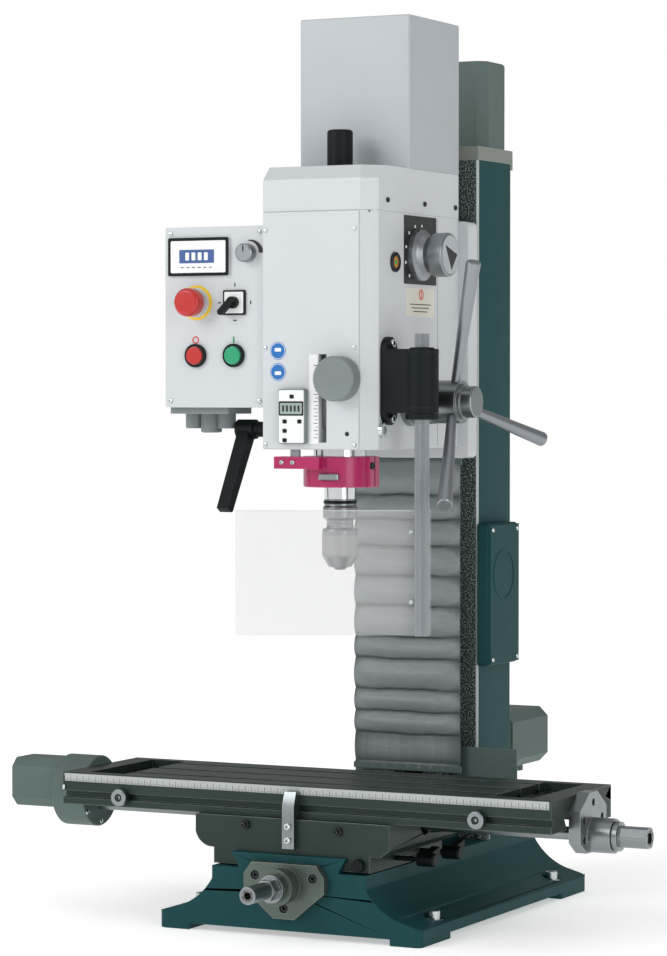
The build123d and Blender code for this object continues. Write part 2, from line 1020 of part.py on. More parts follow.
# ================================================================ head
stem_z = depth_knob_z + 8
slot_bottom = stem_z - quill_travel - 6
slot_top = depth_knob_z + 34
head_outline = [
    (head_left, head_front),
    (head_right - corner_bevel, head_front),
    (head_right, head_front + corner_bevel),
    (head_right, head_back),
    (head_left, head_back),
]
scale_x = -41.0
scale_width = 14.0
scale_thickness = 5.0
scale_y = head_front + head_wall + 4.5
lock_y = spindle_y
lock_z = 691.0
lock_shank = 7.0
with BuildPart() as head_casting:
    prism_z(head_outline, head_bottom, head_split)
    block(
        head_left + head_wall,
        head_right - head_wall,
        head_front + head_wall,
        head_back - 2 * head_wall,
        head_bottom + 30,
        head_split,
        Mode.SUBTRACT,
    )
    prism_z(
        [
            (head_right - corner_bevel - 6, head_front + 1),
            (head_right - 1, head_front + corner_bevel + 6),
            (head_right - 1, head_front + corner_bevel + 12),
            (head_right - corner_bevel - 18, head_front + 1),
        ],
        head_bottom + 30,
        head_split,
    )
    disc_z(head_bottom + 20, quill_boss_top, 0, spindle_y, quill_boss_radius)
    disc_z(
        head_bottom,
        quill_boss_top,
        0,
        spindle_y,
        quill_radius + running_gap,
        Mode.SUBTRACT,
    )
    # the slot that the depth knob's stem runs in
    block(
        depth_slot_x - depth_slot_width / 2,
        depth_slot_x + depth_slot_width / 2,
        head_front,
        spindle_y,
        slot_bottom,
        slot_top,
        Mode.SUBTRACT,
    )
    # the slot in the floor that the readout's scale passes through
    block(
        scale_x - scale_width / 2 - 1,
        scale_x + scale_width / 2 + 1,
        scale_y - scale_thickness / 2 - 1,
        scale_y + scale_thickness / 2 + 1,
        head_bottom,
        head_bottom + 31,
        Mode.SUBTRACT,
    )
    # bosses and bores of the feed shaft, the quill lock and the tilt pivot
    disc_x(head_right - head_wall - 20, head_right, hub_y, hub_z, 24.0)
    disc_x(
        -pinion_radius - 22,
        head_right,
        hub_y,
        hub_z,
        pinion_radius + running_gap,
        Mode.SUBTRACT,
    )
    disc_x(head_left, head_left + 32, lock_y, lock_z, lock_shank + running_gap, Mode.SUBTRACT)
    disc_y(head_back - 8.2, head_back, 0, tilt_z, tilt_pin_radius + running_gap, Mode.SUBTRACT)
save(head_casting, "head_casting")

hood_back = head_back
hood_half = 86.0
cap_radius = 18.0
with BuildPart() as head_cover:
    prism_z(head_outline, head_split, head_top)
    top_front = head_cover.faces().sort_by(Axis.Z)[-1].edges().sort_by(Axis.Y)[0]
    top_corner = head_cover.edges().filter_by(
        lambda edge: abs(edge.center().X - (head_right - corner_bevel / 2)) < 1
        and edge.center().Z > head_top - 1
    )
    chamfer([top_front] + list(top_corner), length=corner_bevel)
    # the hollow steps down behind the bevelled corner, so that the wall there stays whole
    for hollow_front, hollow_top in (
        (head_front + corner_bevel + cover_wall, head_top - corner_bevel - cover_wall),
        (head_front + 2 * corner_bevel + cover_wall, head_top - cover_wall),
    ):
        block(
            head_left + cover_wall,
            head_right - cover_wall,
            hollow_front,
            head_back - cover_wall,
            head_split,
            hollow_top,
            Mode.SUBTRACT,
        )
    disc_z(head_top - cover_wall, head_top, 0, spindle_y, spindle_radius + 2, Mode.SUBTRACT)
    disc_z(
        head_top - cover_wall,
        head_top,
        0,
        (hood_front + hood_back) / 2,
        30,
        Mode.SUBTRACT,
    )
save(head_cover, "head_cover")

with BuildPart() as motor_hood:
    block(-hood_half, hood_half, hood_front, hood_back, head_top, hood_top)
    fillet(motor_hood.edges().filter_by(Axis.Z), radius=3)
    fillet(motor_hood.faces().sort_by(Axis.Z)[-1].edges(), radius=2.4)
    block(
        -hood_half + hood_wall,
        hood_half - hood_wall,
        hood_front + hood_wall,
        hood_back - hood_wall,
        head_top,
        hood_top - hood_wall,
        Mode.SUBTRACT,
    )
save(motor_hood, "motor_hood")

with BuildPart() as spindle_motor:
    motor_y = (hood_front + hood_back) / 2
    disc_z(head_top, head_top + 12, 0, motor_y, 70)
    disc_z(head_top + 12, hood_top - 30, 0, motor_y, 62)
    chamfer(spindle_motor.faces().sort_by(Axis.Z)[-1].edges(), length=4)
    disc_z(head_top - 100, head_top, 0, motor_y, 11)
save(spindle_motor, "spindle_motor")

with BuildPart() as drawbar_cap:
    disc_z(head_top, head_top + 53, 0, spindle_y, cap_radius)
    fillet(drawbar_cap.faces().sort_by(Axis.Z)[-1].edges(), radius=4)
    disc_z(head_top, head_top + 49, 0, spindle_y, cap_radius - 2, Mode.SUBTRACT)
save(drawbar_cap, "drawbar_cap")

plate_right = head_right - corner_bevel - 1.5
with BuildPart() as front_plate:
    block(
        head_left + 1,
        plate_right,
        head_front - plate_thickness,
        head_front,
        head_bottom + 1.5,
        head_split - 1.5,
    )
    fillet(front_plate.edges().filter_by(Axis.Y), radius=2)
    block(
        depth_slot_x - depth_slot_width / 2,
        depth_slot_x + depth_slot_width / 2,
        head_front - plate_thickness,
        head_front,
        slot_bottom,
        slot_top,
        Mode.SUBTRACT,
    )
save(front_plate, "front_plate")

plate_front = head_front - plate_thickness
readout_width = 42.0
readout_height = 76.0
readout_thickness = 9.0
readout_x = -35.0
readout_z = 710.0
with BuildPart() as depth_readout:
    block(
        readout_x - readout_width / 2,
        readout_x + readout_width / 2,
        plate_front - readout_thickness,
        plate_front,
        readout_z - readout_height / 2,
        readout_z + readout_height / 2,
    )
    fillet(depth_readout.edges().filter_by(Axis.Y), radius=3)
    chamfer(depth_readout.faces().sort_by(Axis.Y)[0].edges(), length=1)
save(depth_readout, "depth_readout")

selector_y = -55.0
selector_z = 936.0
with BuildPart() as selector_knob:
    selector_profile = [
        (clear_gap, 0.0),
        (clear_gap, 36.0),
        (9.0, 36.0),
        (13.0, 31.0),
        (20.0, 26.0),
        (27.0, 30.0),
        (30.0, 31.0),
        (48.0, 31.0),
        (50.0, 29.0),
        (50.0, 0.0),
    ]
    with BuildSketch(Plane.XY.offset(selector_z)) as knob_half:
        with BuildLine():
            Polyline(
                [(head_right + along, selector_y + out) for along, out in selector_profile],
                close=True,
            )
        make_face()
    revolve(knob_half.sketch, axis=Axis((0, selector_y, selector_z), (1, 0, 0)))
save(selector_knob, "selector_knob")

# ================================================================ feed hub and levers
hub_flange = 34.0
hub_start = head_right + clear_gap
lever_boss_x = head_right + 67.0
lever_boss_radius = 30.0
lever_cone = 15.0
lever_first = -14.2
lever_count = 3
lever_length = 206.0
lever_root = 6.5
lever_tip = 10.5
lever_seat = lever_boss_radius - 10
def lever_plane(index, out):
    """Plane across a lever at a distance from the hub's axis."""
    turn = radians(lever_first + index * 360 / lever_count)
    cone = radians(lever_cone)
    along = Vector(sin(cone), cos(cone) * sin(turn), cos(cone) * cos(turn))
    start = Vector(lever_boss_x, hub_y, hub_z)
    return Plane(origin=start + along * out, z_dir=along)


with BuildPart() as feed_hub:
    disc_x(-pinion_radius - 20, hub_start, hub_y, hub_z, pinion_radius)
    disc_x(hub_start, hub_start + 9, hub_y, hub_z, hub_flange)
    disc_x(hub_start + 9, hub_start + 40, hub_y, hub_z, hub_flange - 3)
    disc_x(hub_start + 40, lever_boss_x + 15, hub_y, hub_z, lever_boss_radius)
    disc_x(lever_boss_x + 15, lever_boss_x + 20, hub_y, hub_z, 25)
    disc_x(lever_boss_x + 20, lever_boss_x + 37, hub_y, hub_z, 22)
    chamfer(feed_hub.faces().sort_by(Axis.X)[-1].edges(), length=1.5)
    for index in range(lever_count):
        with BuildSketch(lever_plane(index, lever_seat)) as lever_bore:
            Circle(lever_root + clear_gap)
        extrude(lever_bore.sketch, amount=lever_boss_radius, mode=Mode.SUBTRACT)
save(feed_hub, "feed_hub")


with BuildPart() as feed_levers:
    for index in range(lever_count):
        with BuildSketch(lever_plane(index, lever_seat)) as near_end:
            Circle(lever_root)
        with BuildSketch(lever_plane(index, lever_length)) as far_end:
            Circle(lever_tip)
        loft([near_end.sketch, far_end.sketch])
        chamfer(feed_levers.edges().filter_by(GeomType.CIRCLE).sort_by_distance(
            lever_plane(index, lever_length).origin
        )[0], length=1.5)
save(feed_levers, "feed_levers")

# ================================================================ quill, spindle and chuck
nose_bottom = quill_bottom - 17.0
nose_radius = 22.0
ring_height = 26.0
ring_radius = 51.5
with BuildPart() as quill:
    disc_z(quill_bottom, quill_top, 0, spindle_y, quill_radius)
    disc_z(
        quill_bottom,
        quill_top,
        0,
        spindle_y,
        spindle_radius + running_gap,
        Mode.SUBTRACT,
    )
save(quill, "quill")

with BuildPart() as spindle:
    disc_z(nose_bottom, quill_bottom - clear_gap, 0, spindle_y, nose_radius)
    disc_z(quill_bottom - 1, spindle_top, 0, spindle_y, spindle_radius)
save(spindle, "spindle")

chuck_bottom = 495.0
chuck_split = 560.0
sleeve_bore = 17.0
with BuildPart() as chuck_body:
    chuck_profile = [
        (0.0, nose_bottom),
        (nose_radius, nose_bottom),
        (nose_radius, nose_bottom - 9),
        (24.0, nose_bottom - 12),
        (24.0, chuck_split + 8),
        (19.0, chuck_split + 4),
        (19.0, chuck_split),
        (sleeve_bore - running_gap, chuck_split),
        (sleeve_bore - running_gap, chuck_bottom + 36),
        (0.0, chuck_bottom + 36),
    ]
    with BuildSketch(Plane.XZ.offset(-spindle_y)) as body_half:
        with BuildLine():
            Polyline(chuck_profile, close=True)
        make_face()
    revolve(body_half.sketch, axis=Axis((0, spindle_y, 0), (0, 0, 1)))
save(chuck_body, "chuck_body")

jaw_bore = 5.0
jaw_outer = 11.0
with BuildPart() as chuck_sleeve:
    sleeve_profile = [
        (sleeve_bore, chuck_split - clear_gap),
        (19.0, chuck_split - clear_gap),
        (19.0, chuck_split - 6),
        (24.0, chuck_split - 8),
        (25.0, chuck_split - 10),
        (25.0, chuck_bottom + 19),
        (16.0, chuck_bottom + 4),
        (jaw_outer + clear_gap, chuck_bottom + 4),
        (jaw_outer + clear_gap, chuck_bottom + 36 - clear_gap),
        (sleeve_bore, chuck_bottom + 36 - clear_gap),
    ]
    with BuildSketch(Plane.XZ.offset(-spindle_y)) as sleeve_half:
        with BuildLine():
            Polyline(sleeve_profile, close=True)
        make_face()
    revolve(sleeve_half.sketch, axis=Axis((0, spindle_y, 0), (0, 0, 1)))
save(chuck_sleeve, "chuck_sleeve")

with BuildPart() as chuck_jaws:
    disc_z(chuck_bottom, chuck_bottom + 36, 0, spindle_y, jaw_outer)
    chamfer(chuck_jaws.faces().sort_by(Axis.Z)[0].edges(), length=4)
    disc_z(chuck_bottom, chuck_bottom + 30, 0, spindle_y, jaw_bore, Mode.SUBTRACT)
    for index in range(3):
        with BuildSketch(Plane.XY.offset(chuck_bottom)) as jaw_slit:
            with Locations((0, spindle_y)):
                with PolarLocations(jaw_outer / 2 + 1, 1, start_angle=90 + index * 120):
                    Rectangle(jaw_outer + 2, 1.6)
        extrude(jaw_slit.sketch, amount=36, mode=Mode.SUBTRACT)
    disc_z(chuck_bottom, chuck_bottom + 36, 0, spindle_y, 1.5, Mode.SUBTRACT)
save(chuck_jaws, "chuck_jaws")

arm_height = 17.0
arm_left = -70.0
arm_depth = 30.0
arm_y = head_front + 3.0 + arm_depth / 2
scale_length = 146.0
arm_top = quill_bottom + ring_height + arm_height
with BuildPart() as quill_ring:
    disc_z(quill_bottom, arm_top, 0, spindle_y, ring_radius)
    block(
        arm_left,
        0,
        arm_y - arm_depth / 2,
        arm_y + arm_depth / 2,
        quill_bottom + ring_height,
        arm_top,
    )
    block(
        ring_radius - 20,
        ring_radius + 3,
        spindle_y - 14,
        spindle_y + 14,
        quill_bottom,
        arm_top,
    )
    disc_z(
        quill_bottom,
        arm_top,
        0,
        spindle_y,
        quill_radius + running_gap,
        Mode.SUBTRACT,
    )
    block(
        quill_radius - 5,
        ring_radius + 4,
        spindle_y - 1.5,
        spindle_y + 1.5,
        quill_bottom,
        arm_top,
        Mode.SUBTRACT,
    )
    chamfer(quill_ring.faces().sort_by(Axis.Z)[0].edges(), length=0.8)
save(quill_ring, "quill_ring")

with BuildPart() as readout_scale:
    block(
        scale_x - scale_width / 2,
        scale_x + scale_width / 2,
        scale_y - scale_thickness / 2,
        scale_y + scale_thickness / 2,
        arm_top,
        arm_top + scale_length,
    )
save(readout_scale, "readout_scale")

with BuildPart() as depth_knob:
    knob_back = plate_front - 3
    disc_y(knob_back - 24, knob_back, depth_knob_x, depth_knob_z, depth_knob_radius)
    chamfer(depth_knob.faces().sort_by(Axis.Y)[0].edges(), length=2)
    stem_half = depth_slot_width / 2 - 1
    block(
        depth_slot_x - stem_half,
        depth_knob_x,
        knob_back - 10,
        plate_front - 1,
        stem_z - stem_half,
        stem_z + stem_half,
    )
    block(
        depth_slot_x - stem_half,
        depth_slot_x + stem_half,
        plate_front - 1,
        spindle_y - quill_radius - 1,
        stem_z - stem_half,
        stem_z + stem_half,
    )
save(depth_knob, "depth_knob")

# ================================================================ quill lock
lock_hub_start = head_left - clear_gap
lock_hub_end = head_left - 76.0
lock_hub_radius = 14.0
lock_handle = 133.0
lock_lean = 31.0
with BuildPart() as quill_lock_lever:
    disc_x(lock_hub_start, head_left + 26, lock_y, lock_z, lock_shank)
    disc_x(lock_hub_end + 26, lock_hub_start, lock_y, lock_z, lock_hub_radius - 3)
    disc_x(lock_hub_end, lock_hub_end + 28, lock_y, lock_z, lock_hub_radius)
    lean = radians(lock_lean)
    along = Vector(0, -sin(lean), -cos(lean))
    across = Vector(0, cos(lean), -sin(lean))
    axle = Vector(0, lock_y, lock_z)
    corners = [
        axle - across * 11,
        axle + across * 11,
        axle + across * 8 + along * lock_handle,
        axle - across * 8 + along * lock_handle,
    ]
    prism_x([(corner.Y, corner.Z) for corner in corners], lock_hub_end + 5, lock_hub_end + 23)
    fillet(quill_lock_lever.edges().filter_by(Axis.X).group_by(Axis.Z)[0], radius=6)
save(quill_lock_lever, "quill_lock_lever")

# ================================================================ guard
guard_x = 140.0
guard_y = -158.0
guard_turn = 26.7
swivel_radius = 17.0
bracket_radius = 23.0
bracket_low = 715.0
bracket_high = 803.0
rail_side = 20.0
rail_low = 408.0
rail_high = 824.0
panel_width = 276.0
panel_overhang = 3.0
panel_low = 408.0
panel_high = 581.0
panel_thickness = 3.0
with BuildPart() as guard_bracket:
    with BuildSketch(Plane.YZ.offset(head_right)) as bracket_plate:
        with Locations((guard_y, (bracket_low + bracket_high) / 2)):
            SlotOverall(bracket_high - bracket_low + 34, 2 * swivel_radius + 4, rotation=90)
    extrude(bracket_plate.sketch, amount=9)
    block(
        head_right,
        guard_x,
        guard_y - swivel_radius - 2,
        guard_y + swivel_radius + 2,
        bracket_low,
        bracket_high,
    )
    disc_z(bracket_low, bracket_high, guard_x, guard_y, bracket_radius)
    disc_z(
        bracket_low,
        bracket_high,
        guard_x,
        guard_y,
        swivel_radius + running_gap,
        Mode.SUBTRACT,
    )
save(guard_bracket, "guard_bracket")


def guard_plane(height):
    """Plane across the rail, turned to the guard's stored position."""
    return Plane(origin=(guard_x, guard_y, height), x_dir=(
        cos(radians(guard_turn)),
        sin(radians(guard_turn)),
        0,
    ), z_dir=(0, 0, 1))


with BuildPart() as guard_swivel:
    disc_z(bracket_low - 9, bracket_low - clear_gap, guard_x, guard_y, bracket_radius)
    disc_z(bracket_low - 1, bracket_high + 2, guard_x, guard_y, swivel_radius)
    with BuildSketch(guard_plane(bracket_low - 9)) as rail_hole:
        Rectangle(rail_side + clear_gap, rail_side + clear_gap)
    extrude(rail_hole.sketch, amount=bracket_high - bracket_low + 11, mode=Mode.SUBTRACT)
save(guard_swivel, "guard_swivel")

rail_groove = 6.0
with BuildPart() as guard_rail:
    with BuildSketch(guard_plane(rail_low)) as rail_section:
        Rectangle(rail_side, rail_side)
        for across, along in ((1, 0), (-1, 0), (0, 1), (0, -1)):
            with Locations((across * rail_side / 2, along * rail_side / 2)):
                Rectangle(rail_groove, rail_groove, mode=Mode.SUBTRACT)
    extrude(rail_section.sketch, amount=rail_high - rail_low)
save(guard_rail, "guard_rail")

with BuildPart() as guard_panel:
    panel_middle = (rail_side / 2 + panel_overhang - panel_width / 2, (rail_side + panel_thickness) / 2)
    with BuildSketch(guard_plane(panel_low)) as panel_section:
        with Locations(panel_middle):
            Rectangle(panel_width, panel_thickness)
    extrude(panel_section.sketch, amount=panel_high - panel_low)
save(guard_panel, "guard_panel")

# ================================================================ control box
box_width = 160.0
box_bottom = 722.0
box_top = 976.0
box_depth = 92.0
box_wall = 3.0
panel_thick = 3.0
box_front = head_front + 10.0
box_right = head_left
box_left = box_right - box_width
with BuildPart() as control_box:
    block(box_left, box_right, box_front, box_front + box_depth, box_bottom, box_top)
    fillet(control_box.edges().filter_by(Axis.Y), radius=4)
    block(
        box_left + box_wall,
        box_right - box_wall,
        box_front,
        box_front + box_depth - box_wall,
        box_bottom + box_wall,
        box_top - box_wall,
        Mode.SUBTRACT,
    )
save(control_box, "control_box")

button_radius = 12.5
estop_stem = 8.0
places = {
    "display": (box_left + 55.5, 934.0),
    "speed": (box_left + 133.0, 938.0),
    "estop": (box_left + 51.0, 869.5),
    "mode": (box_left + 112.0, 869.0),
    "stop": (box_left + 50.0, 795.0),
    "start": (box_left + 111.0, 795.0),
}
stems = {"speed": 3.0, "estop": estop_stem, "mode": 5.0, "stop": button_radius, "start": button_radius}
panel_front = box_front - panel_thick
with BuildPart() as control_panel:
    block(box_left, box_right, panel_front, box_front, box_bottom, box_top)
    fillet(control_panel.edges().filter_by(Axis.Y), radius=4)
    display_x, display_z = places["display"]
    block(
        display_x - 48,
        display_x + 48,
        panel_front - 4,
        panel_front,
        display_z - 26.5,
        display_z + 26.5,
    )
    for name in ("stop", "start"):
        x, z = places[name]
        disc_y(panel_front - 5, panel_front, x, z, button_radius + 2.5)
    x, z = places["estop"]
    disc_y(panel_front - 6, panel_front, x, z, 21.0)
    x, z = places["mode"]
    block(x - 16, x + 16, panel_front - 3, panel_front, z - 16, z + 16)
    for name, stem in stems.items():
        x, z = places[name]
        disc_y(panel_front - 10, box_front, x, z, stem + running_gap, Mode.SUBTRACT)
save(control_panel, "control_panel")

button_travel = 3.0
for name, height in (("stop", 8.5), ("start", 8.5)):
    x, z = places[name]
    with BuildPart() as button:
        disc_y(panel_front - height, box_front + 8, x, z, button_radius)
        fillet(button.faces().sort_by(Axis.Y)[0].edges(), radius=1.5)
    save(button, f"{name}_button")

with BuildPart() as estop_button:
    x, z = places["estop"]
    disc_y(panel_front - 34, panel_front - 16, x, z, 20.0)
    fillet(estop_button.faces().sort_by(Axis.Y)[0].edges(), radius=6)
    disc_y(panel_front - 17, panel_front - 11, x, z, 15.0)
    disc_y(panel_front - 12, box_front + 12, x, z, estop_stem)
save(estop_button, "estop_button")

with BuildPart() as mode_switch:
    x, z = places["mode"]
    disc_y(panel_front - 12, panel_front - 3.4, x, z, 8.5)
    disc_y(panel_front - 4, box_front + 10, x, z, 5.0)
    with BuildSketch(Plane.XZ.offset(-(panel_front - 12))) as pointer:
        with Locations((x - 5, z - 5)):
            SlotOverall(32, 9, rotation=45)
    extrude(pointer.sketch, amount=9)
save(mode_switch, "mode_switch")

with BuildPart() as speed_knob:
    x, z = places["speed"]
    disc_y(panel_front - 16, panel_front - 0.5, x, z, 13.0)
    chamfer(speed_knob.faces().sort_by(Axis.Y)[0].edges(), length=2)
    disc_y(panel_front - 1, box_front + 10, x, z, 3.0)
save(speed_knob, "speed_knob")

with BuildPart() as cable_connectors:
    connector_flange = 9.0
    flange_bottom = box_bottom - connector_flange
    block(
        box_left + 2,
        box_left + 95,
        box_front + 8,
        box_front + box_depth - 14,
        flange_bottom,
        box_bottom,
    )
    for across, low, radius in ((17, 30, 13), (44, 36, 15), (69, 30, 13)):
        disc_z(box_bottom - low, flange_bottom, box_left + across, box_front + 52, radius)
        chamfer(cable_connectors.faces().sort_by(Axis.Z)[0].edges(), length=1.5)
save(cable_connectors, "cable_connectors")
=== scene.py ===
# %% [markdown]
# # A benchtop milling machine
# The machine's shape comes ready made from its CAD model: sixty named pieces, each riding on the
# body that it moves with. This lesson gives those pieces their real finishes, and adds what is too
# small or too soft for the CAD: screw heads, dials, labels, the pleated cloth and the clear guard.
# The first cell loads the frame. Everything later is placed from the boxes of its pieces.

# %% Load the frame
import json
from math import cos, pi, radians, sin, sqrt

import bmesh
import bpy
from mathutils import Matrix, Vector


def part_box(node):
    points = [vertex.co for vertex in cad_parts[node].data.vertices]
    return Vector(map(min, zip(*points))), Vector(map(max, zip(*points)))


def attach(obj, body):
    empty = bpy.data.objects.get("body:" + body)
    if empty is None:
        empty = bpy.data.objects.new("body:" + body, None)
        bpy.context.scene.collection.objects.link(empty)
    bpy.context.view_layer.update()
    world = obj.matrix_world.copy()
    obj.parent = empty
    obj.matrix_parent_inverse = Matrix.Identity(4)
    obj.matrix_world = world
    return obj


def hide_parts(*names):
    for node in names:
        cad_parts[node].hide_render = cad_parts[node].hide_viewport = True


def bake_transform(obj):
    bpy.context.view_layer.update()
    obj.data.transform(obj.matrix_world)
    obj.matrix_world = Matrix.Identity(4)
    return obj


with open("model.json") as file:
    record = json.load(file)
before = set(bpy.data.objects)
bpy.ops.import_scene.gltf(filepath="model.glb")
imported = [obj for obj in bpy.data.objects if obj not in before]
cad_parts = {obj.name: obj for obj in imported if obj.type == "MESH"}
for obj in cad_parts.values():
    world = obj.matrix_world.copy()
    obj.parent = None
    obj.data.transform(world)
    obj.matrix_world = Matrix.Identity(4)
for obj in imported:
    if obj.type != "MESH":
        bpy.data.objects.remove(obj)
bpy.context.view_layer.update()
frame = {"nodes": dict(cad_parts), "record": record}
nodes = frame["nodes"]
MM = 0.001


def edges(node):
    """Lowest and highest corner of a CAD piece, in millimetres."""
    low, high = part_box(node)
    return low / MM, high / MM


def middle(node):
    """X, Y and Z of a CAD piece's centre, in millimetres."""
    return [(low + high) / 2 for low, high in zip(*edges(node))]


# %% [markdown]
# ## Shader groups
# Enamel, machined iron and moulded plastic all carry the same few effects: a fine grain, tool
# marks, lighter edges that are partly worn finish and partly a painted highlight, and a film of
# handling grime. Each effect is one node group, built once, and every material sets its own
# values on it. A group gives out only masks and heights.

# %% Helpers for node groups
def new_group(name, inputs, outputs):
    """An empty shader group with float inputs (name, default) and float outputs."""
    group = bpy.data.node_groups.new(name, "ShaderNodeTree")
    for label, value in inputs:
        kind = "NodeSocketVector" if isinstance(value, tuple) else "NodeSocketFloat"
        socket = group.interface.new_socket(name=label, in_out="INPUT", socket_type=kind)
        socket.default_value = value
    for label in outputs:
        group.interface.new_socket(name=label, in_out="OUTPUT", socket_type="NodeSocketFloat")
    return group, group.nodes.new("NodeGroupInput"), group.nodes.new("NodeGroupOutput")


def math_node(tree, operation, first, second=None, third=None, clamp=False):
    """A Math node whose inputs are sockets or numbers."""
    node = tree.nodes.new("ShaderNodeMath")
    node.operation = operation
    node.use_clamp = clamp
    for index, value in enumerate((first, second, third)):
        if isinstance(value, (int, float)):
            node.inputs[index].default_value = value
        elif value is not None:
            tree.links.new(value, node.inputs[index])
    return node.outputs[0]


def vector_node(tree, operation, *values):
    """A Vector Math node whose inputs are sockets."""
    node = tree.nodes.new("ShaderNodeVectorMath")
    node.operation = operation
    for index, value in enumerate(values):
        tree.links.new(value, node.inputs[index])
    return node


def noise_node(tree, vector, scale, detail=3.0, roughness=0.55):
    """A noise texture; scale is a socket or a number."""
    node = tree.nodes.new("ShaderNodeTexNoise")
    node.inputs["Detail"].default_value = detail
    node.inputs["Roughness"].default_value = roughness
    tree.links.new(vector, node.inputs["Vector"])
    if isinstance(scale, (int, float)):
        node.inputs["Scale"].default_value = scale
    else:
        tree.links.new(scale, node.inputs["Scale"])
    return node.outputs["Fac"]


def bump_node(tree, height, strength, distance):
    """A bump from a height socket; the distance is in metres."""
    node = tree.nodes.new("ShaderNodeBump")
    node.inputs["Strength"].default_value = strength
    node.inputs["Distance"].default_value = distance
    tree.links.new(height, node.inputs["Height"])
    return node


def own_place(tree):
    """The shaded point in the piece's own axes, in metres."""
    return tree.nodes.new("ShaderNodeTexCoord").outputs["Object"]


def own_axis(tree, axis):
    """One coordinate of the shaded point, in metres."""
    split = tree.nodes.new("ShaderNodeSeparateXYZ")
    tree.links.new(own_place(tree), split.inputs[0])
    return split.outputs[axis]


# %% Grain of paint, castings and moulded plastic
FINE_SHARE = 0.35
grain_group, grain_in, grain_out = new_group(
    "surface_grain", [("Fine Scale", 900.0), ("Broad Scale", 14.0)], ["Height", "Shade"]
)
grain_place = own_place(grain_group)
fine_grain = noise_node(grain_group, grain_place, grain_in.outputs["Fine Scale"])
broad_grain = noise_node(grain_group, grain_place, grain_in.outputs["Broad Scale"], detail=4.0)
fine_shade = math_node(grain_group, "MULTIPLY_ADD", fine_grain, FINE_SHARE, -FINE_SHARE / 2)
grain_shade = math_node(grain_group, "ADD", fine_shade, broad_grain, clamp=True)
grain_group.links.new(fine_grain, grain_out.inputs["Height"])
grain_group.links.new(grain_shade, grain_out.inputs["Shade"])
print("group", grain_group.name)

# %% Tool marks of planed, turned and ground metal
marks_group, marks_in, marks_out = new_group(
    "tool_marks", [("Stretch", (20.0, 900.0, 900.0)), ("Wander", 6.0)], ["Height", "Shade"]
)
marks_place = own_place(marks_group)
stretched = vector_node(marks_group, "MULTIPLY", marks_place, marks_in.outputs["Stretch"])
streaks = noise_node(marks_group, stretched.outputs[0], 1.0, detail=2.0)
cloudy = noise_node(marks_group, marks_place, marks_in.outputs["Wander"])
half_streaks = math_node(marks_group, "MULTIPLY", streaks, 0.5)
half_clouds = math_node(marks_group, "MULTIPLY", cloudy, 0.5)
marks_shade = math_node(marks_group, "ADD", half_streaks, half_clouds, clamp=True)
marks_group.links.new(streaks, marks_out.inputs["Height"])
marks_group.links.new(marks_shade, marks_out.inputs["Shade"])
print("group", marks_group.name)

# %% Lighter edges: paint or finish worn thin, and a painted highlight along them
WORN_LIT_RADIUS, WORN_LIT_STRENGTH = 0.0016, 6.0
worn_lit_group, worn_lit_in, worn_lit_out = new_group(
    "worn_and_lit_edges", [("Amount", 1.0), ("Breakup Scale", 60.0)], ["Mask"]
)
# the mask marks edges for a lighter colour: partly worn finish, partly a painted highlight
rounded_normal = worn_lit_group.nodes.new("ShaderNodeBevel")
rounded_normal.samples = 4
rounded_normal.inputs["Radius"].default_value = WORN_LIT_RADIUS
true_normal = worn_lit_group.nodes.new("ShaderNodeNewGeometry").outputs["Normal"]
agreement = vector_node(worn_lit_group, "DOT_PRODUCT", rounded_normal.outputs[0], true_normal)
turned_away = math_node(worn_lit_group, "SUBTRACT", 1.0, agreement.outputs["Value"], clamp=True)
breakup = noise_node(
    worn_lit_group, own_place(worn_lit_group), worn_lit_in.outputs["Breakup Scale"], detail=5.0
)
broken = math_node(worn_lit_group, "MULTIPLY", turned_away, breakup)
strong = math_node(worn_lit_group, "MULTIPLY", broken, WORN_LIT_STRENGTH)
worn_lit_mask = math_node(worn_lit_group, "MULTIPLY", strong, worn_lit_in.outputs["Amount"], clamp=True)
worn_lit_group.links.new(worn_lit_mask, worn_lit_out.inputs["Mask"])
print("group", worn_lit_group.name)

# %% A film of oil, dust and fingermarks
SPOT_SCALE, SPOT_SHARE = 160.0, 0.2
film_group, film_in, film_out = new_group(
    "handling_film", [("Scale", 9.0), ("Reach", 0.5)], ["Mask"]
)
film_place = own_place(film_group)
smears = noise_node(film_group, film_place, film_in.outputs["Scale"], detail=6.0, roughness=0.65)
spots = noise_node(film_group, film_place, SPOT_SCALE, detail=2.0)
film_smears = math_node(film_group, "MULTIPLY", smears, 1 - SPOT_SHARE)
film_spots = math_node(film_group, "MULTIPLY", spots, SPOT_SHARE)
film_sum = math_node(film_group, "ADD", film_smears, film_spots)
film_mask = math_node(film_group, "MULTIPLY", film_sum, film_in.outputs["Reach"], clamp=True)
film_group.links.new(film_mask, film_out.inputs["Mask"])
print("group", film_group.name)


# %% [markdown]
# ## Finishes
# One function mixes an opaque finish: a base colour that drifts a little with the grain, lighter
# edges that are partly worn through to the colour beneath and partly a painted highlight, a
# roughness that the film of grime raises, and a bump from the grain or the tool marks. Numbers
# that are the same all over go straight on the shader's sockets.

# %% The function that mixes a finish
def srgb(red, green, blue):
    """A colour read on a 0 to 255 screen scale, as linear light."""
    return tuple((c / 255) ** 2.2 for c in (red, green, blue)) + (1.0,)


def scaled(colour, factor):
    """The colour made lighter or darker."""
    return tuple(min(1.0, c * factor) for c in colour[:3]) + (1.0,)


def place_group(tree, group, **values):
    """One use of a shared group, with its own values."""
    node = tree.nodes.new("ShaderNodeGroup")
    node.node_tree = group
    for label, value in values.items():
        node.inputs[label.replace("_", " ")].default_value = value
    return node


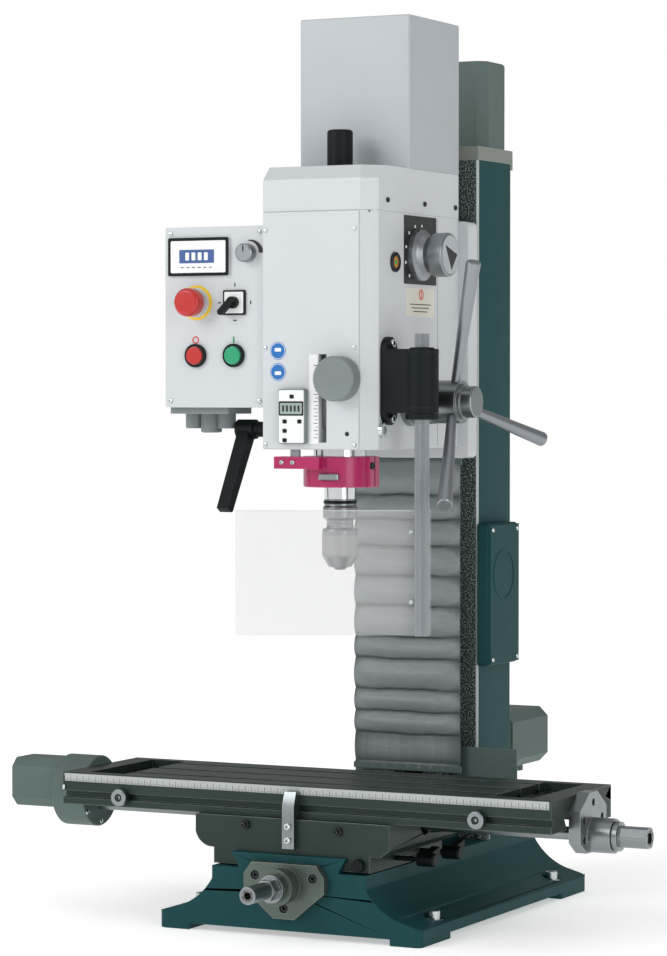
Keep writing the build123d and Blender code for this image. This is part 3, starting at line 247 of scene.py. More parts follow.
def mix_colours(tree, factor, first, second):
    """A colour mix; the factor is a socket, the colours are sockets or values."""
    node = tree.nodes.new("ShaderNodeMix")
    node.data_type = "RGBA"
    tree.links.new(factor, node.inputs[0])
    for slot_index, colour in ((6, first), (7, second)):
        if isinstance(colour, tuple):
            node.inputs[slot_index].default_value = colour
        else:
            tree.links.new(colour, node.inputs[slot_index])
    return node.outputs[2]


GRAIN_DEPTH, COAT_ROUGHNESS = 0.0005, 0.12


def finish(name, colour, roughness, metallic=0.0, drift=0.12, bump=0.12, grain=900.0, stretch=None,
           worn_lit_colour=None, worn_lit_amount=0.5, film=0.12, coat=0.0, specular=0.5):
    """An opaque finish. stretch turns the grain into tool marks; the edge colour is partly the worn
    colour under the finish and partly a painted highlight.
    """
    material = bpy.data.materials.new(name)
    material.use_nodes = True
    tree = material.node_tree
    shader = tree.nodes["Principled BSDF"]
    for label, value in (("Metallic", metallic), ("Specular IOR Level", specular),
                         ("Coat Weight", coat), ("Coat Roughness", COAT_ROUGHNESS)):
        shader.inputs[label].default_value = value
    if stretch:
        surface = place_group(tree, marks_group, Stretch=stretch)
    else:
        surface = place_group(tree, grain_group, Fine_Scale=grain)
    base = mix_colours(
        tree, surface.outputs["Shade"], scaled(colour, 1 - drift), scaled(colour, 1 + drift)
    )
    # edges turn a lighter colour: partly worn finish, partly a painted highlight
    if worn_lit_colour:
        worn_lit = place_group(tree, worn_lit_group, Amount=worn_lit_amount)
        base = mix_colours(tree, worn_lit.outputs["Mask"], base, worn_lit_colour)
    tree.links.new(base, shader.inputs["Base Color"])
    grime = place_group(tree, film_group).outputs["Mask"]
    rough = math_node(tree, "MULTIPLY_ADD", grime, 2 * film, roughness - film / 2)
    tree.links.new(rough, shader.inputs["Roughness"])
    relief = bump_node(tree, surface.outputs["Height"], bump, GRAIN_DEPTH)
    tree.links.new(relief.outputs["Normal"], shader.inputs["Normal"])
    return material


def overpaint(material, mask, colour):
    """Lays another colour over a finish where the mask is 1."""
    tree = material.node_tree
    base = tree.nodes["Principled BSDF"].inputs["Base Color"]
    tree.links.new(mix_colours(tree, mask, base.links[0].from_socket, colour), base)


# %% Finishes of the record's slots
ALONG_X, ALONG_Y, ALONG_Z = (30.0, 1400.0, 1400.0), (1400.0, 30.0, 1400.0), (1400.0, 1400.0, 30.0)
# Each lighter edge colour below is partly worn finish and partly a painted highlight.
finishes = {
    "cast_teal": finish("teal_enamel", srgb(31, 70, 72), 0.5, bump=0.35, grain=420.0,
                        worn_lit_colour=srgb(70, 102, 104), worn_lit_amount=0.3, specular=0.12),
    "head_grey": finish("silver_enamel", srgb(198, 203, 206), 0.42, specular=0.35, bump=0.14,
                        drift=0.03, grain=1300.0, worn_lit_colour=srgb(236, 238, 240), worn_lit_amount=0.3, coat=0.15),
    "hood_grey": finish("hood_enamel", srgb(172, 178, 182), 0.42, specular=0.35, bump=0.1,
                        drift=0.03, grain=1500.0, worn_lit_colour=srgb(228, 230, 232), worn_lit_amount=0.3, coat=0.1),
    "machined_iron": finish("ground_iron", srgb(54, 65, 61), 0.44, metallic=0.55, specular=0.2,
                            drift=0.22, bump=0.16, stretch=ALONG_X, worn_lit_colour=srgb(190, 194, 192),
                            worn_lit_amount=0.7),
    "bright_steel": finish("turned_steel", srgb(138, 144, 146), 0.32, metallic=1.0, bump=0.1,
                           stretch=ALONG_Y, worn_lit_colour=srgb(225, 228, 230), worn_lit_amount=0.6),
    "chrome": finish("bright_chrome", srgb(214, 218, 220), 0.1, metallic=1.0, drift=0.03,
                     bump=0.03, film=0.05),
    "motor_grey": finish("motor_enamel", srgb(92, 108, 104), 0.5, specular=0.15, bump=0.3,
                         grain=500.0, worn_lit_colour=srgb(170, 178, 176), worn_lit_amount=0.35),
    "magenta": finish("magenta_enamel", srgb(168, 28, 88), 0.34, specular=0.35, bump=0.1,
                      drift=0.08, worn_lit_colour=srgb(222, 120, 168), worn_lit_amount=0.4, coat=0.4),
    "black_plastic": finish("black_moulding", srgb(15, 24, 25), 0.5, specular=0.2, bump=0.3,
                            grain=1500.0, worn_lit_colour=srgb(70, 80, 82), worn_lit_amount=0.35),
    "grey_plastic": finish("grey_moulding", srgb(120, 128, 129), 0.46, specular=0.35, bump=0.25,
                           grain=1300.0, worn_lit_colour=srgb(186, 192, 192), worn_lit_amount=0.4),
    "red_plastic": finish("red_moulding", srgb(182, 42, 38), 0.34, specular=0.4, bump=0.06,
                          drift=0.06, worn_lit_colour=srgb(240, 120, 110), worn_lit_amount=0.3, coat=0.3),
    "green_plastic": finish("green_moulding", srgb(24, 150, 104), 0.32, bump=0.06, drift=0.06,
                            worn_lit_colour=srgb(110, 210, 170), worn_lit_amount=0.3, coat=0.3),
    "aluminium": finish("drawn_aluminium", srgb(140, 145, 150), 0.36, metallic=0.9, drift=0.08,
                        bump=0.1, stretch=ALONG_Z, worn_lit_colour=srgb(232, 232, 232), worn_lit_amount=0.6),
    "bronze": finish("cast_bronze", srgb(176, 128, 84), 0.35, metallic=1.0, stretch=ALONG_Y),
    "belt_rubber": finish("belt_rubber", srgb(26, 26, 27), 0.75, bump=0.4),
    "cap_beige": finish("warm_grey_enamel", srgb(126, 132, 125), 0.45, specular=0.3, bump=0.2,
                        worn_lit_colour=srgb(205, 208, 200), worn_lit_amount=0.5),
    "sheet_dark": finish("dark_sheet_metal", srgb(88, 106, 103), 0.42, metallic=0.4, bump=0.15,
                         worn_lit_colour=srgb(120, 134, 132), worn_lit_amount=0.5),
}
finishes["bellows_cloth"] = finish("spare_cloth", srgb(104, 112, 112), 0.6, bump=0.4)
finishes["clear_sheet"] = finish("spare_sheet", srgb(220, 222, 222), 0.2)
print("finishes", sorted(finishes))

# %% Finishes of the small fittings
print_white = finish("white_print", srgb(232, 234, 234), 0.45, bump=0.04, drift=0.03)
print_black = finish("black_print", srgb(22, 26, 27), 0.42, bump=0.05, drift=0.05)
print_cream = finish("cream_label", srgb(214, 210, 196), 0.4, bump=0.04, drift=0.04)
print_blue = finish("blue_print", srgb(20, 104, 178), 0.4, bump=0.04, drift=0.05)
print_red = finish("red_print", srgb(206, 44, 40), 0.4, bump=0.04, drift=0.05)
print_green = finish("green_print", srgb(26, 150, 84), 0.4, bump=0.04, drift=0.05)
yellow_ring = finish("yellow_moulding", srgb(236, 196, 46), 0.4, bump=0.1, drift=0.05)
lcd_blue = finish("lcd_blue_glass", srgb(70, 96, 150), 0.16, bump=0.02, drift=0.12, coat=0.6)
lcd_grey = finish("lcd_grey_glass", srgb(150, 166, 158), 0.18, bump=0.02, drift=0.08, coat=0.6)
amber_glass = finish("amber_oil_glass", srgb(196, 140, 50), 0.12, bump=0.02, coat=0.8)
# Lighter edge colours of the screws: partly worn plating, partly a painted highlight.
black_oxide = finish("black_oxide_screw", srgb(40, 44, 46), 0.4, metallic=0.7, bump=0.15,
                     worn_lit_colour=srgb(120, 126, 128), worn_lit_amount=0.6)
zinc_plate = finish("zinc_screw", srgb(196, 202, 204), 0.24, metallic=1.0, bump=0.08,
                    worn_lit_colour=srgb(236, 238, 240), worn_lit_amount=0.5)
hole_dark = finish("socket_shadow", srgb(12, 13, 14), 0.8, bump=0.1)
# Pairs that many small fittings share: facing and body, then the record's slot and the finish
ON_FRONT, ON_SIDE = ("front", "head"), ("right", "head")
black_part = finishes["black_plastic"]
WHITE_PRINT, BLACK_PRINT = ("head_grey", print_white), ("black_plastic", print_black)
RED_PRINT, GREEN_PRINT = ("red_plastic", print_red), ("green_plastic", print_green)
BLACK_PART, ZINC = ("black_plastic", black_part), ("bright_steel", zinc_plate)
print("small finishes made")


# %% [markdown]
# ## The column's front
# The column is one casting, painted on its sides. Its front is scraped bare and looks mottled, and
# where the paint ends a narrow band of bare machined edge is painted light as a highlight. The
# piece's own Y coordinate parts the three: scraped iron in front of the front wall, then the
# painted highlight band, then enamel.

# %% Enamel with a bare front
# width of the painted highlight band along the bare machined edge, in metres
BARE_EDGE_HIGHLIGHT_WIDTH = 0.003


def planed_front(source, name, edge_y):
    """A copy of a finish with scraped iron in front of edge_y, in metres, and a painted highlight
    band on the bare edge behind it.
    """
    material = source.copy()
    material.name = name
    tree = material.node_tree
    y = own_axis(tree, "Y")
    mottled = place_group(tree, grain_group, Fine_Scale=420.0)
    speckle = math_node(tree, "MULTIPLY_ADD", mottled.outputs["Height"], 5.0, -2.35, clamp=True)
    scraped = mix_colours(tree, speckle, srgb(34, 50, 48), srgb(150, 158, 156))
    # painted highlight: a light band on the bare machined edge behind the front wall
    bare_edge_highlight = math_node(tree, "LESS_THAN", y, edge_y + BARE_EDGE_HIGHLIGHT_WIDTH)
    overpaint(material, bare_edge_highlight, srgb(176, 184, 184))
    overpaint(material, math_node(tree, "LESS_THAN", y, edge_y), scraped)
    return material


# the front wall lies this far behind the junction box's front edge
WALL_BEHIND_BOX = 0.0035
wall_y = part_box("junction_box")[0].y + WALL_BEHIND_BOX
column_finish = planed_front(finishes["cast_teal"], "teal_enamel_planed_front", wall_y)
# its lighter edge colour is partly worn and partly a painted highlight
weathered_steel = finish("weathered_steel", srgb(92, 102, 95), 0.36, metallic=0.7, drift=0.2,
                         bump=0.16, worn_lit_colour=srgb(168, 176, 168), worn_lit_amount=0.7)
print("column turns bare in front of y", round(wall_y, 4))


# %% [markdown]
# ## Edges of the CAD pieces
# A CAD edge is perfectly sharp, and no real edge is. Each piece is welded along its seams and
# given a narrow bevel by modifiers, so that the edges catch a thin line of light. The piece's own
# mesh stays as it came.

# %% Dress the CAD pieces
EDGE_WIDTHS = {
    "base_casting": 1.6, "column": 1.2, "saddle": 0.9, "table": 0.7, "head_casting": 1.0,
    "head_cover": 0.8, "depth_knob": 0.0, "control_box": 0.9, "column_cap": 0.8, "junction_box": 0.8,
    "quill_ring": 0.8, "guard_bracket": 0.9, "feed_hub": 0.6, "chuck_jaws": 0.2,
    "front_plate": 0.3, "rear_sheet": 0.3, "guard_rail": 0.5, "motor_hood": 0.5,
}
DEFAULT_EDGE = 0.5
SHARPEST_SMOOTH = radians(32)
SHARPEST_TURN = radians(24)


def sharp_edges_group():
    """Geometry nodes that keep an edge sharp where its two faces turn steeply."""
    group = bpy.data.node_groups.new("sharp_where_steep", "GeometryNodeTree")
    for side in ("INPUT", "OUTPUT"):
        group.interface.new_socket(name="Geometry", in_out=side, socket_type="NodeSocketGeometry")
    turn = group.nodes.new("GeometryNodeInputMeshEdgeAngle")
    gentle = group.nodes.new("FunctionNodeCompare")
    gentle.operation = "LESS_THAN"
    gentle.inputs["B"].default_value = SHARPEST_TURN
    group.links.new(turn.outputs["Unsigned Angle"], gentle.inputs["A"])
    shade = group.nodes.new("GeometryNodeSetShadeSmooth")
    shade.domain = "EDGE"
    group.links.new(group.nodes.new("NodeGroupInput").outputs[0], shade.inputs["Geometry"])
    group.links.new(gentle.outputs[0], shade.inputs["Shade Smooth"])
    group.links.new(shade.outputs[0], group.nodes.new("NodeGroupOutput").inputs[0])
    return group


steep_edges = sharp_edges_group()


def dress(name, material, width):
    """Gives a CAD piece its finish and a narrow bevel on its edges."""
    piece = nodes[name]
    mesh = piece.data
    mesh.materials.clear()
    mesh.materials.append(material)
    normals = mesh.attributes.get("custom_normal")
    if normals:
        mesh.attributes.remove(normals)
    mesh.shade_smooth()
    piece.modifiers.new("weld", "WELD").merge_threshold = 0.00001
    piece.modifiers.new("sharp", "NODES").node_group = steep_edges
    if not width:
        return
    bevel = piece.modifiers.new("edge", "BEVEL")
    bevel.width = width * MM
    bevel.segments = 2
    bevel.limit_method = "ANGLE"
    bevel.angle_limit = SHARPEST_TURN
    bevel.use_clamp_overlap = False
    bevel.harden_normals = True


for part in frame["record"]["subparts"]:
    dress(part["node"], finishes[part["material_slot"]],
          EDGE_WIDTHS.get(part["node"], DEFAULT_EDGE))
nodes["column"].data.materials[0] = column_finish
nodes["y_bearing_flange"].data.materials[0] = weathered_steel
print("dressed", len(nodes), "pieces")


# %% [markdown]
# ## Building small fittings
# Screws, rings, plates and dials are all a pile of outlines joined by skin. One function stacks
# them: each ring is an outline in the plane of a face and a height above it. A closed pile makes a
# washer or a bezel; an open one is capped at both ends.

# %% Outlines and the stacking function
FACINGS = {
    "front": ((1, 0, 0), (0, 0, 1), (0, -1, 0)),
    "back": ((-1, 0, 0), (0, 0, 1), (0, 1, 0)),
    "right": ((0, 1, 0), (0, 0, 1), (1, 0, 0)),
    "left": ((0, -1, 0), (0, 0, 1), (-1, 0, 0)),
    "top": ((1, 0, 0), (0, 1, 0), (0, 0, 1)),
}
made = {}


def circle(radius, steps=36, x=0.0, y=0.0):
    return [(x + radius * cos(2 * pi * i / steps), y + radius * sin(2 * pi * i / steps))
            for i in range(steps)]


def hexagon(across, steps=36):
    """A hexagon of that width across its flats, sampled like a circle."""
    points = []
    for i in range(steps):
        angle = 2 * pi * i / steps
        off = (angle % (pi / 3)) - pi / 6
        reach = across / 2 / cos(off)
        points.append((reach * cos(angle), reach * sin(angle)))
    return points


def rounded(width, height, radius, steps=5, x=0.0, y=0.0):
    """A rectangle with round corners."""
    points = []
    for quarter, (sx, sy) in enumerate(((1, 1), (-1, 1), (-1, -1), (1, -1))):
        for i in range(steps + 1):
            angle = pi / 2 * (quarter + i / steps)
            points.append((x + sx * (width / 2 - radius) + radius * cos(angle),
                           y + sy * (height / 2 - radius) + radius * sin(angle)))
    return points


def add_mesh(name, points, faces, body, material, smooth=SHARPEST_SMOOTH):
    """Makes a piece from points in millimetres and hangs it on its body, if it rides on one."""
    mesh = bpy.data.meshes.new(name)
    mesh.from_pydata([tuple(MM * c for c in point) for point in points], [], faces)
    skin = bmesh.new()
    skin.from_mesh(mesh)
    bmesh.ops.recalc_face_normals(skin, faces=skin.faces)
    skin.to_mesh(mesh)
    skin.free()
    mesh.materials.append(material)
    mesh.shade_smooth()
    mesh.set_sharp_from_angle(angle=smooth)
    piece = bpy.data.objects.new(name, mesh)
    bpy.context.scene.collection.objects.link(piece)
    if body:
        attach(piece, body)
    made[name] = piece
    return piece


def stack(name, rings, centre, facing, body, slot, material, closed=False):
    """Skins a pile of (outline, height) rings on a face."""
    right, up, out = (Vector(v) for v in FACINGS[facing])
    middle = Vector(centre)
    points, faces = [], []
    for outline, height in rings:
        points += [middle + right * x + up * y + out * height for x, y in outline]
    count = len(rings[0][0])
    turns = list(range(len(rings))) + ([0] if closed else [])
    for lower, upper in zip(turns, turns[1:]):
        for i in range(count):
            j = (i + 1) % count
            faces.append((lower * count + i, lower * count + j,
                          upper * count + j, upper * count + i))
    if not closed:
        faces.append(tuple(range(count)))
        faces.append(tuple(range((len(rings) - 1) * count, len(rings) * count)))
    return add_mesh(name, points, faces, body, material)


def plate(name, outline_at, thickness, centre, facing, body, slot, material, edge=0.2):
    """A flat plate with a softened front edge; outline_at(inset) gives its outline."""
    return stack(name, [(outline_at(0), -0.3), (outline_at(0), thickness - edge),
                        (outline_at(edge), thickness)], centre, facing, body, slot, material)


def disc(name, radius, thickness, centre, facing, body, slot, material, edge=0.2):
    return plate(name, lambda inset: circle(radius - inset), thickness, centre, facing, body,
                 slot, material, edge)


def slab(name, width, height, corner, thickness, centre, facing, body, slot, material, edge=0.2):
    return plate(name, lambda inset: rounded(width - 2 * inset, height - 2 * inset,
                                             max(0.05, corner - inset)),
                 thickness, centre, facing, body, slot, material, edge)


def ring(name, outer, inner, thickness, centre, facing, body, slot, material, edge=0.4):
    """A washer or bezel."""
    return stack(name, [(circle(outer), -0.3), (circle(outer), thickness - edge),
                        (circle(outer - edge), thickness), (circle(inner + edge), thickness),
                        (circle(inner), thickness - edge), (circle(inner), -0.3)],
                 centre, facing, body, slot, material, closed=True)


def socket_screw(name, radius, height, centre, facing, body, material, slot="bright_steel"):
    """A cap screw with a hexagon socket."""
    key = radius * 1.05
    return stack(name, [(circle(radius), -0.5), (circle(radius), height - 0.5),
                        (circle(radius - 0.5), height), (hexagon(key), height),
                        (hexagon(key * 0.98), height - radius * 0.7)],
                 centre, facing, body, slot, material)


def pan_screw(name, radius, centre, facing, body, material, slot="bright_steel"):
    """A round-headed screw with a cross recess, turned a little from its neighbours."""
    steps = 32
    lean = 0.4 * len(made)

    def cross(reach, waist):
        points = []
        for i in range(steps):
            angle = 2 * pi * i / steps
            arm = abs(cos(2 * (angle + lean)))
            r = waist + (reach - waist) * arm ** 4
            points.append((r * cos(angle), r * sin(angle)))
        return points

    height = radius * 0.55
    return stack(name, [(circle(radius, steps), -0.3), (circle(radius, steps), height * 0.35),
                        (circle(radius * 0.8, steps), height * 0.85),
                        (cross(radius * 0.62, radius * 0.2), height),
                        (cross(radius * 0.5, radius * 0.12), height * 0.35)],
                 centre, facing, body, slot, material)


print("stacking tools ready")


# %% [markdown]
# ## The head
# The front carries a thin name plate held by six screws, the digital depth readout and the white
# depth scale beside the knob's slot. Printing is a hair-thin plate of its own, so that it has a
# real edge and stays put in every view. Nothing is lettered.

# %% Front plate, scale and stickers
plate_low, plate_high = edges("front_plate")
plate_y = plate_low.y
for column_index, x in enumerate((plate_low.x + 4.5, plate_high.x - 6)):
    for row_index, z in enumerate((plate_high.z - 24.5, plate_low.z + 139.5, plate_low.z + 5)):
        pan_screw(f"front_plate_screw_{column_index}{row_index}", 3.1, (x, plate_y, z), *ON_FRONT,
                  zinc_plate)
scale_x, scale_bottom, scale_top = -4.6, plate_low.z + 7, plate_low.z + 130
slab("depth_scale", 14, scale_top - scale_bottom, 0.5, 0.35,
     (scale_x, plate_y, (scale_bottom + scale_top) / 2), *ON_FRONT, *WHITE_PRINT)
for number in range(21):
    index, half = divmod(number, 2)
    length = 3.5 if half else 6.0
    slab(f"depth_scale_mark_{index}{half}", length, 0.9, 0.2, 0.6,
         (scale_x + 6.2 - length / 2, plate_y, scale_bottom + 8 + 5 * number), *ON_FRONT,
         *BLACK_PRINT, 0.1)
sticker_x = -60.3
for index, z in enumerate((plate_low.z + 135.5, plate_low.z + 106)):
    disc(f"blue_sticker_{index}", 12.5, 0.3, (sticker_x, plate_y, z), *ON_FRONT, "head_grey",
         print_blue)
    ring(f"sticker_ring_{index}", 11.6, 10.8, 0.5, (sticker_x, plate_y, z), *ON_FRONT,
         *WHITE_PRINT, 0.1)
    slab(f"sticker_mark_{index}", 10, 5, 1.2, 0.5, (sticker_x, plate_y, z + 1.5 - 3 * index),
         *ON_FRONT, *WHITE_PRINT, 0.1)
disc("plate_dot", 3.2, 0.4, (46.8, plate_y, plate_low.z + 20.5), *ON_FRONT, "head_grey",
     print_black)
print("front plate fittings", len(made))

# %% Depth readout
readout_low, readout_high = edges("depth_readout")
readout_x, _, readout_z = middle("depth_readout")
readout_y, window_z = readout_low.y, readout_high.z - 27
slab("readout_face", readout_high.x - readout_low.x - 3, readout_high.z - readout_low.z - 3, 2,
     0.4, (readout_x, readout_y, readout_z), *ON_FRONT, "grey_plastic", print_white)
slab("readout_window_frame", 38, 20, 1.5, 0.9, (readout_x, readout_y, window_z), *ON_FRONT,
     "grey_plastic", black_part)
slab("readout_window", 34, 15.5, 0.8, 1.2, (readout_x, readout_y, window_z), *ON_FRONT,
     "grey_plastic", lcd_grey)
for index in range(5):
    slab(f"readout_digit_{index}", 3.2, 8.5, 0.6, 1.35,
         (readout_x - 12 + index * 6, readout_y, window_z), *ON_FRONT, "grey_plastic",
         print_black, 0.05)
for index, (across, down) in enumerate(((1, 10.5), (-10, 45), (13, 45), (-10, 58), (-10, 71))):
    slab(f"readout_key_{index}", 6.4, 5.6, 1.4, 1.5,
         (readout_x + across, readout_y, readout_high.z - down), *ON_FRONT, "grey_plastic",
         black_part, 0.5)
print("readout fittings made")

# %% Side of the head: selector dial, label, oil glass and screws
casting_low, casting_high = edges("head_casting")
side_x, casting_z = casting_high.x, middle("head_casting")[2]
casting_height = casting_high.z - casting_low.z
knob_face_x = edges("selector_knob")[1].x
_, dial_y, dial_z = middle("selector_knob")
slab("selector_plate", 106, 96, 1.5, 0.8, (side_x, dial_y + 7, dial_z + 7), *ON_SIDE,
     *BLACK_PRINT)
for index in range(10):
    angle = radians(-45 + 30 * index)
    reach = 41.5 if index % 2 else 43
    slab(f"selector_mark_{index}", 4.0, 4.0, 1.0, 1.1,
         (side_x, dial_y + reach * cos(angle), dial_z + reach * sin(angle)), *ON_SIDE,
         *WHITE_PRINT, 0.1)
disc("selector_face", 27, 0.7, (knob_face_x, dial_y, dial_z), "right", "selector",
     "grey_plastic", finishes["hood_grey"])
arrow = [(-17, 13), (3, -21), (22, 1)]
stack("selector_arrow", [(arrow, 0.3), (arrow, 1.1)], (knob_face_x, dial_y, dial_z), "right",
      "selector", *BLACK_PRINT)
slab("gear_label", 92, 40, 1, 0.4, (side_x, dial_y + 7, dial_z - 66), *ON_SIDE, "head_grey",
     print_cream)
label_mark = (side_x, dial_y + 10, dial_z - 55)
ring("gear_label_mark", 7.5, 5.4, 0.7, label_mark, *ON_SIDE, *RED_PRINT, 0.1)
slab("gear_label_mark_bar", 2.4, 9, 0.8, 0.7, label_mark, *ON_SIDE, *RED_PRINT, 0.1)
for index in range(3):
    slab(f"gear_label_line_{index}", 70 - 12 * index, 1.3, 0.3, 0.6,
         (side_x, dial_y + 7, dial_z - 69 - 5 * index), *ON_SIDE, *BLACK_PRINT, 0.1)
glass = (side_x, dial_y - 76, dial_z - 12)
ring("oil_glass_rim", 14, 8.5, 4, glass, *ON_SIDE, "black_plastic", black_oxide, 1.2)
disc("oil_glass", 9, 2.2, glass, *ON_SIDE, "bronze", amber_glass, 0.8)
disc("oil_glass_mark", 3.2, 2.5, glass, *ON_SIDE, *GREEN_PRINT)
socket_screw("gearbox_plug", 11, 5, (side_x, casting_low.y + 28, casting_low.z + 27), *ON_SIDE,
             zinc_plate)
slab("head_side_seam", 0.9, casting_height - 8, 0.2, 0.35, (side_x, dial_y + 66, casting_z),
     *ON_SIDE, "head_grey", finishes["grey_plastic"], 0.1)
for index, y in enumerate((-154, -34, 70)):
    for facing, x in (("right", side_x), ("left", casting_low.x)):
        socket_screw(f"cover_screw_{facing}_{index}", 3.6, 2.6, (x, y, casting_high.z + 15),
                     facing, "head", black_oxide)
slope, corner_inset = sqrt(0.5), 9.5
FACINGS["corner"] = ((slope, slope, 0), (0, 0, 1), (slope, -slope, 0))
slab("corner_strip", 5, casting_height - 6, 0.4, 0.25,
     (side_x - corner_inset, casting_low.y + corner_inset, casting_z), "corner", "head",
     "head_grey", finishes["head_grey"], 0.1)
print("side of the head, pieces so far", len(made))

# %% [markdown]
# ## The control box
# Buttons and knobs are CAD pieces, because they move. Around them go the fittings that stay on the
# panel: dark bezels, the yellow ring of the stop switch, a blue display, and plain ring, bar and
# wedge marks.

# %% Control panel fittings
panel_low, panel_high = edges("control_panel")
face_y = edges("control_box")[0].y - 3
display_x, display_y, display_z = panel_low.x + 55.5, face_y - 4, panel_high.z - 42
slab("display_frame", 97, 54, 2.5, 0.8, (display_x, display_y, display_z), *ON_FRONT, *BLACK_PART)
slab("display_field", 88, 45, 2, 1.1, (display_x, display_y, display_z), *ON_FRONT, *WHITE_PRINT)
slab("display_glass", 56, 19, 1, 1.5, (display_x - 2, display_y, display_z + 0.5), *ON_FRONT,
     "black_plastic", lcd_blue)
for index in range(4):
    slab(f"display_digit_{index}", 6, 11, 1.2, 1.6,
         (display_x - 17 + index * 10, display_y, display_z + 0.5), *ON_FRONT, *WHITE_PRINT, 0.05)
for index in range(6):
    slab(f"display_mark_{index}", 5, 1.2, 0.3, 1.3,
         (display_x - 25 + index * 9, display_y, display_z - 15), *ON_FRONT, "grey_plastic",
         print_black, 0.1)
stop_x, _, stop_z = middle("stop_button")
start_x, _, start_z = middle("start_button")
ring("stop_button_bezel", 16.5, 13.0, 5.8, (stop_x, face_y, stop_z), *ON_FRONT, *BLACK_PART, 0.8)
ring("stop_mark", 5.2, 3.6, 0.5, (stop_x - 1, face_y, stop_z + 22), *ON_FRONT, *RED_PRINT, 0.1)
ring("start_button_bezel", 16.5, 13.0, 5.8, (start_x, face_y, start_z), *ON_FRONT, *BLACK_PART,
     0.8)
slab("start_mark", 2.2, 9, 0.4, 0.5, (start_x - 1, face_y, start_z + 22), *ON_FRONT,
     *GREEN_PRINT, 0.1)
estop_x, _, estop_z = middle("estop_button")
ring("estop_ring", 24.5, 8.4, 2.2, (estop_x, face_y, estop_z), *ON_FRONT, "red_plastic",
     yellow_ring, 1)
mode_x, mode_z = display_x + 56.5, estop_z - 0.5
slab("mode_frame", 35, 35, 2, 3.5, (mode_x, face_y, mode_z), *ON_FRONT, *BLACK_PART)
slab("mode_field", 30, 30, 1.5, 4.0, (mode_x, face_y, mode_z), *ON_FRONT, *WHITE_PRINT)
for index, (across, up) in enumerate(((0, 25), (-25, 0), (25, 0), (0, -25))):
    wide, tall = (5, 1.6) if index % 2 else (1.6, 5)
    slab(f"mode_mark_{index}", wide, tall, 0.4, 0.5, (mode_x + across, face_y, mode_z + up),
         *ON_FRONT, *BLACK_PRINT, 0.1)
speed_x, _, speed_z = middle("speed_knob")
ARC_STEPS, ARC_INNER, ARC_THIN, ARC_THICK = 28, 17, 1, 8
outer_arc, inner_arc = [], []
for step in range(ARC_STEPS + 1):
    share = step / ARC_STEPS
    turn, reach = pi / 2 * (1 - share), ARC_INNER + ARC_THIN + (ARC_THICK - ARC_THIN) * share
    outer_arc.append((cos(turn) * reach, sin(turn) * reach))
    inner_arc.insert(0, (cos(turn) * ARC_INNER, sin(turn) * ARC_INNER))
wedge = outer_arc + inner_arc
stack("speed_wedge", [(wedge, -0.2), (wedge, 0.4)], (speed_x, face_y, speed_z), *ON_FRONT,
      *BLACK_PRINT)
slab("speed_pointer", 1.8, 9, 0.5, 0.5, (speed_x, edges("speed_knob")[0].y, speed_z + 6), "front",
     "speed_knob", *BLACK_PRINT, 0.1)
corners = [(x, z) for x in (panel_low.x + 9, panel_high.x - 9)
           for z in (panel_low.z + 9, panel_high.z - 9)]
for index, (x, z) in enumerate(corners):
    pan_screw(f"panel_screw_{index}", 3.4, (x, face_y, z), *ON_FRONT, zinc_plate)
print("control panel, pieces so far", len(made))

# %% [markdown]
# ## Quill ring, chuck and guard
# The magenta clamp is drawn tight by two screws. The chuck's sleeve has a blasted grip band with
# fine upright grooves, which are real geometry so that they catch the light. The guard is a bent
# sheet of clear plastic, so its shader lets most light through and its top edge is denser.

# %% Ring fittings and chuck grip
ring_low, ring_high = edges("quill_ring")
for index, across in enumerate((13, 30)):
    socket_screw(f"ring_screw_{index}", 3.2, 2.4, (ring_low.x + across, ring_low.y, ring_high.z - 8),
                 "front", "quill", zinc_plate)
slab("ring_lug", 30, 9, 2, 5, (10, ring_low.y + 14, ring_low.z + 15), "front", "quill",
     "bright_steel", finishes["bright_steel"], 1)
socket_screw("ring_clamp_screw", 5, 4,
             (ring_high.x - 0.5, edges("quill")[0].y + 27.5, ring_low.z + 30), "right", "quill",
             black_oxide)
sleeve_low, sleeve_high = edges("chuck_sleeve")
chuck_x, chuck_y, _ = middle("chuck_sleeve")
sleeve_radius = (sleeve_high.x - sleeve_low.x) / 2
GROOVES, GROOVE_DEPTH = 60, 0.3


def grooved(radius, depth):
    """A circle with fine grooves of that depth."""
    points = []
    for i in range(2 * GROOVES):
        reach = radius + (depth if i % 2 else 0)
        points.append((reach * cos(pi * i / GROOVES), reach * sin(pi * i / GROOVES)))
    return points


grip_bottom, grip_top = sleeve_low.z + 17, sleeve_high.z - 16
grip_edge = grooved(sleeve_radius - 0.4, 0)
grip_face = grooved(sleeve_radius - 0.05, GROOVE_DEPTH)
blasted_steel = finish("blasted_steel", srgb(168, 168, 166), 0.6, metallic=0.35, bump=0.3,
                       grain=2400.0, drift=0.08)
stack("chuck_grip", [(grip_edge, grip_bottom), (grip_face, grip_bottom + 0.4),
                     (grip_face, grip_top - 0.4), (grip_edge, grip_top)],
      (chuck_x, chuck_y, 0), "top", "chuck_sleeve", "bright_steel", blasted_steel)
disc("chuck_key_hole", 2.4, 0.5, (chuck_x - 6, chuck_y - 24.0, sleeve_high.z - 5), "front",
     "chuck_sleeve", "bright_steel", hole_dark)
ring("chuck_black_ring", 23.2, 21.9, 4, (chuck_x, chuck_y, edges("chuck_body")[1].z - 6), "top",
     "spindle", *BLACK_PART, 0.3)
print("quill and chuck fittings made")

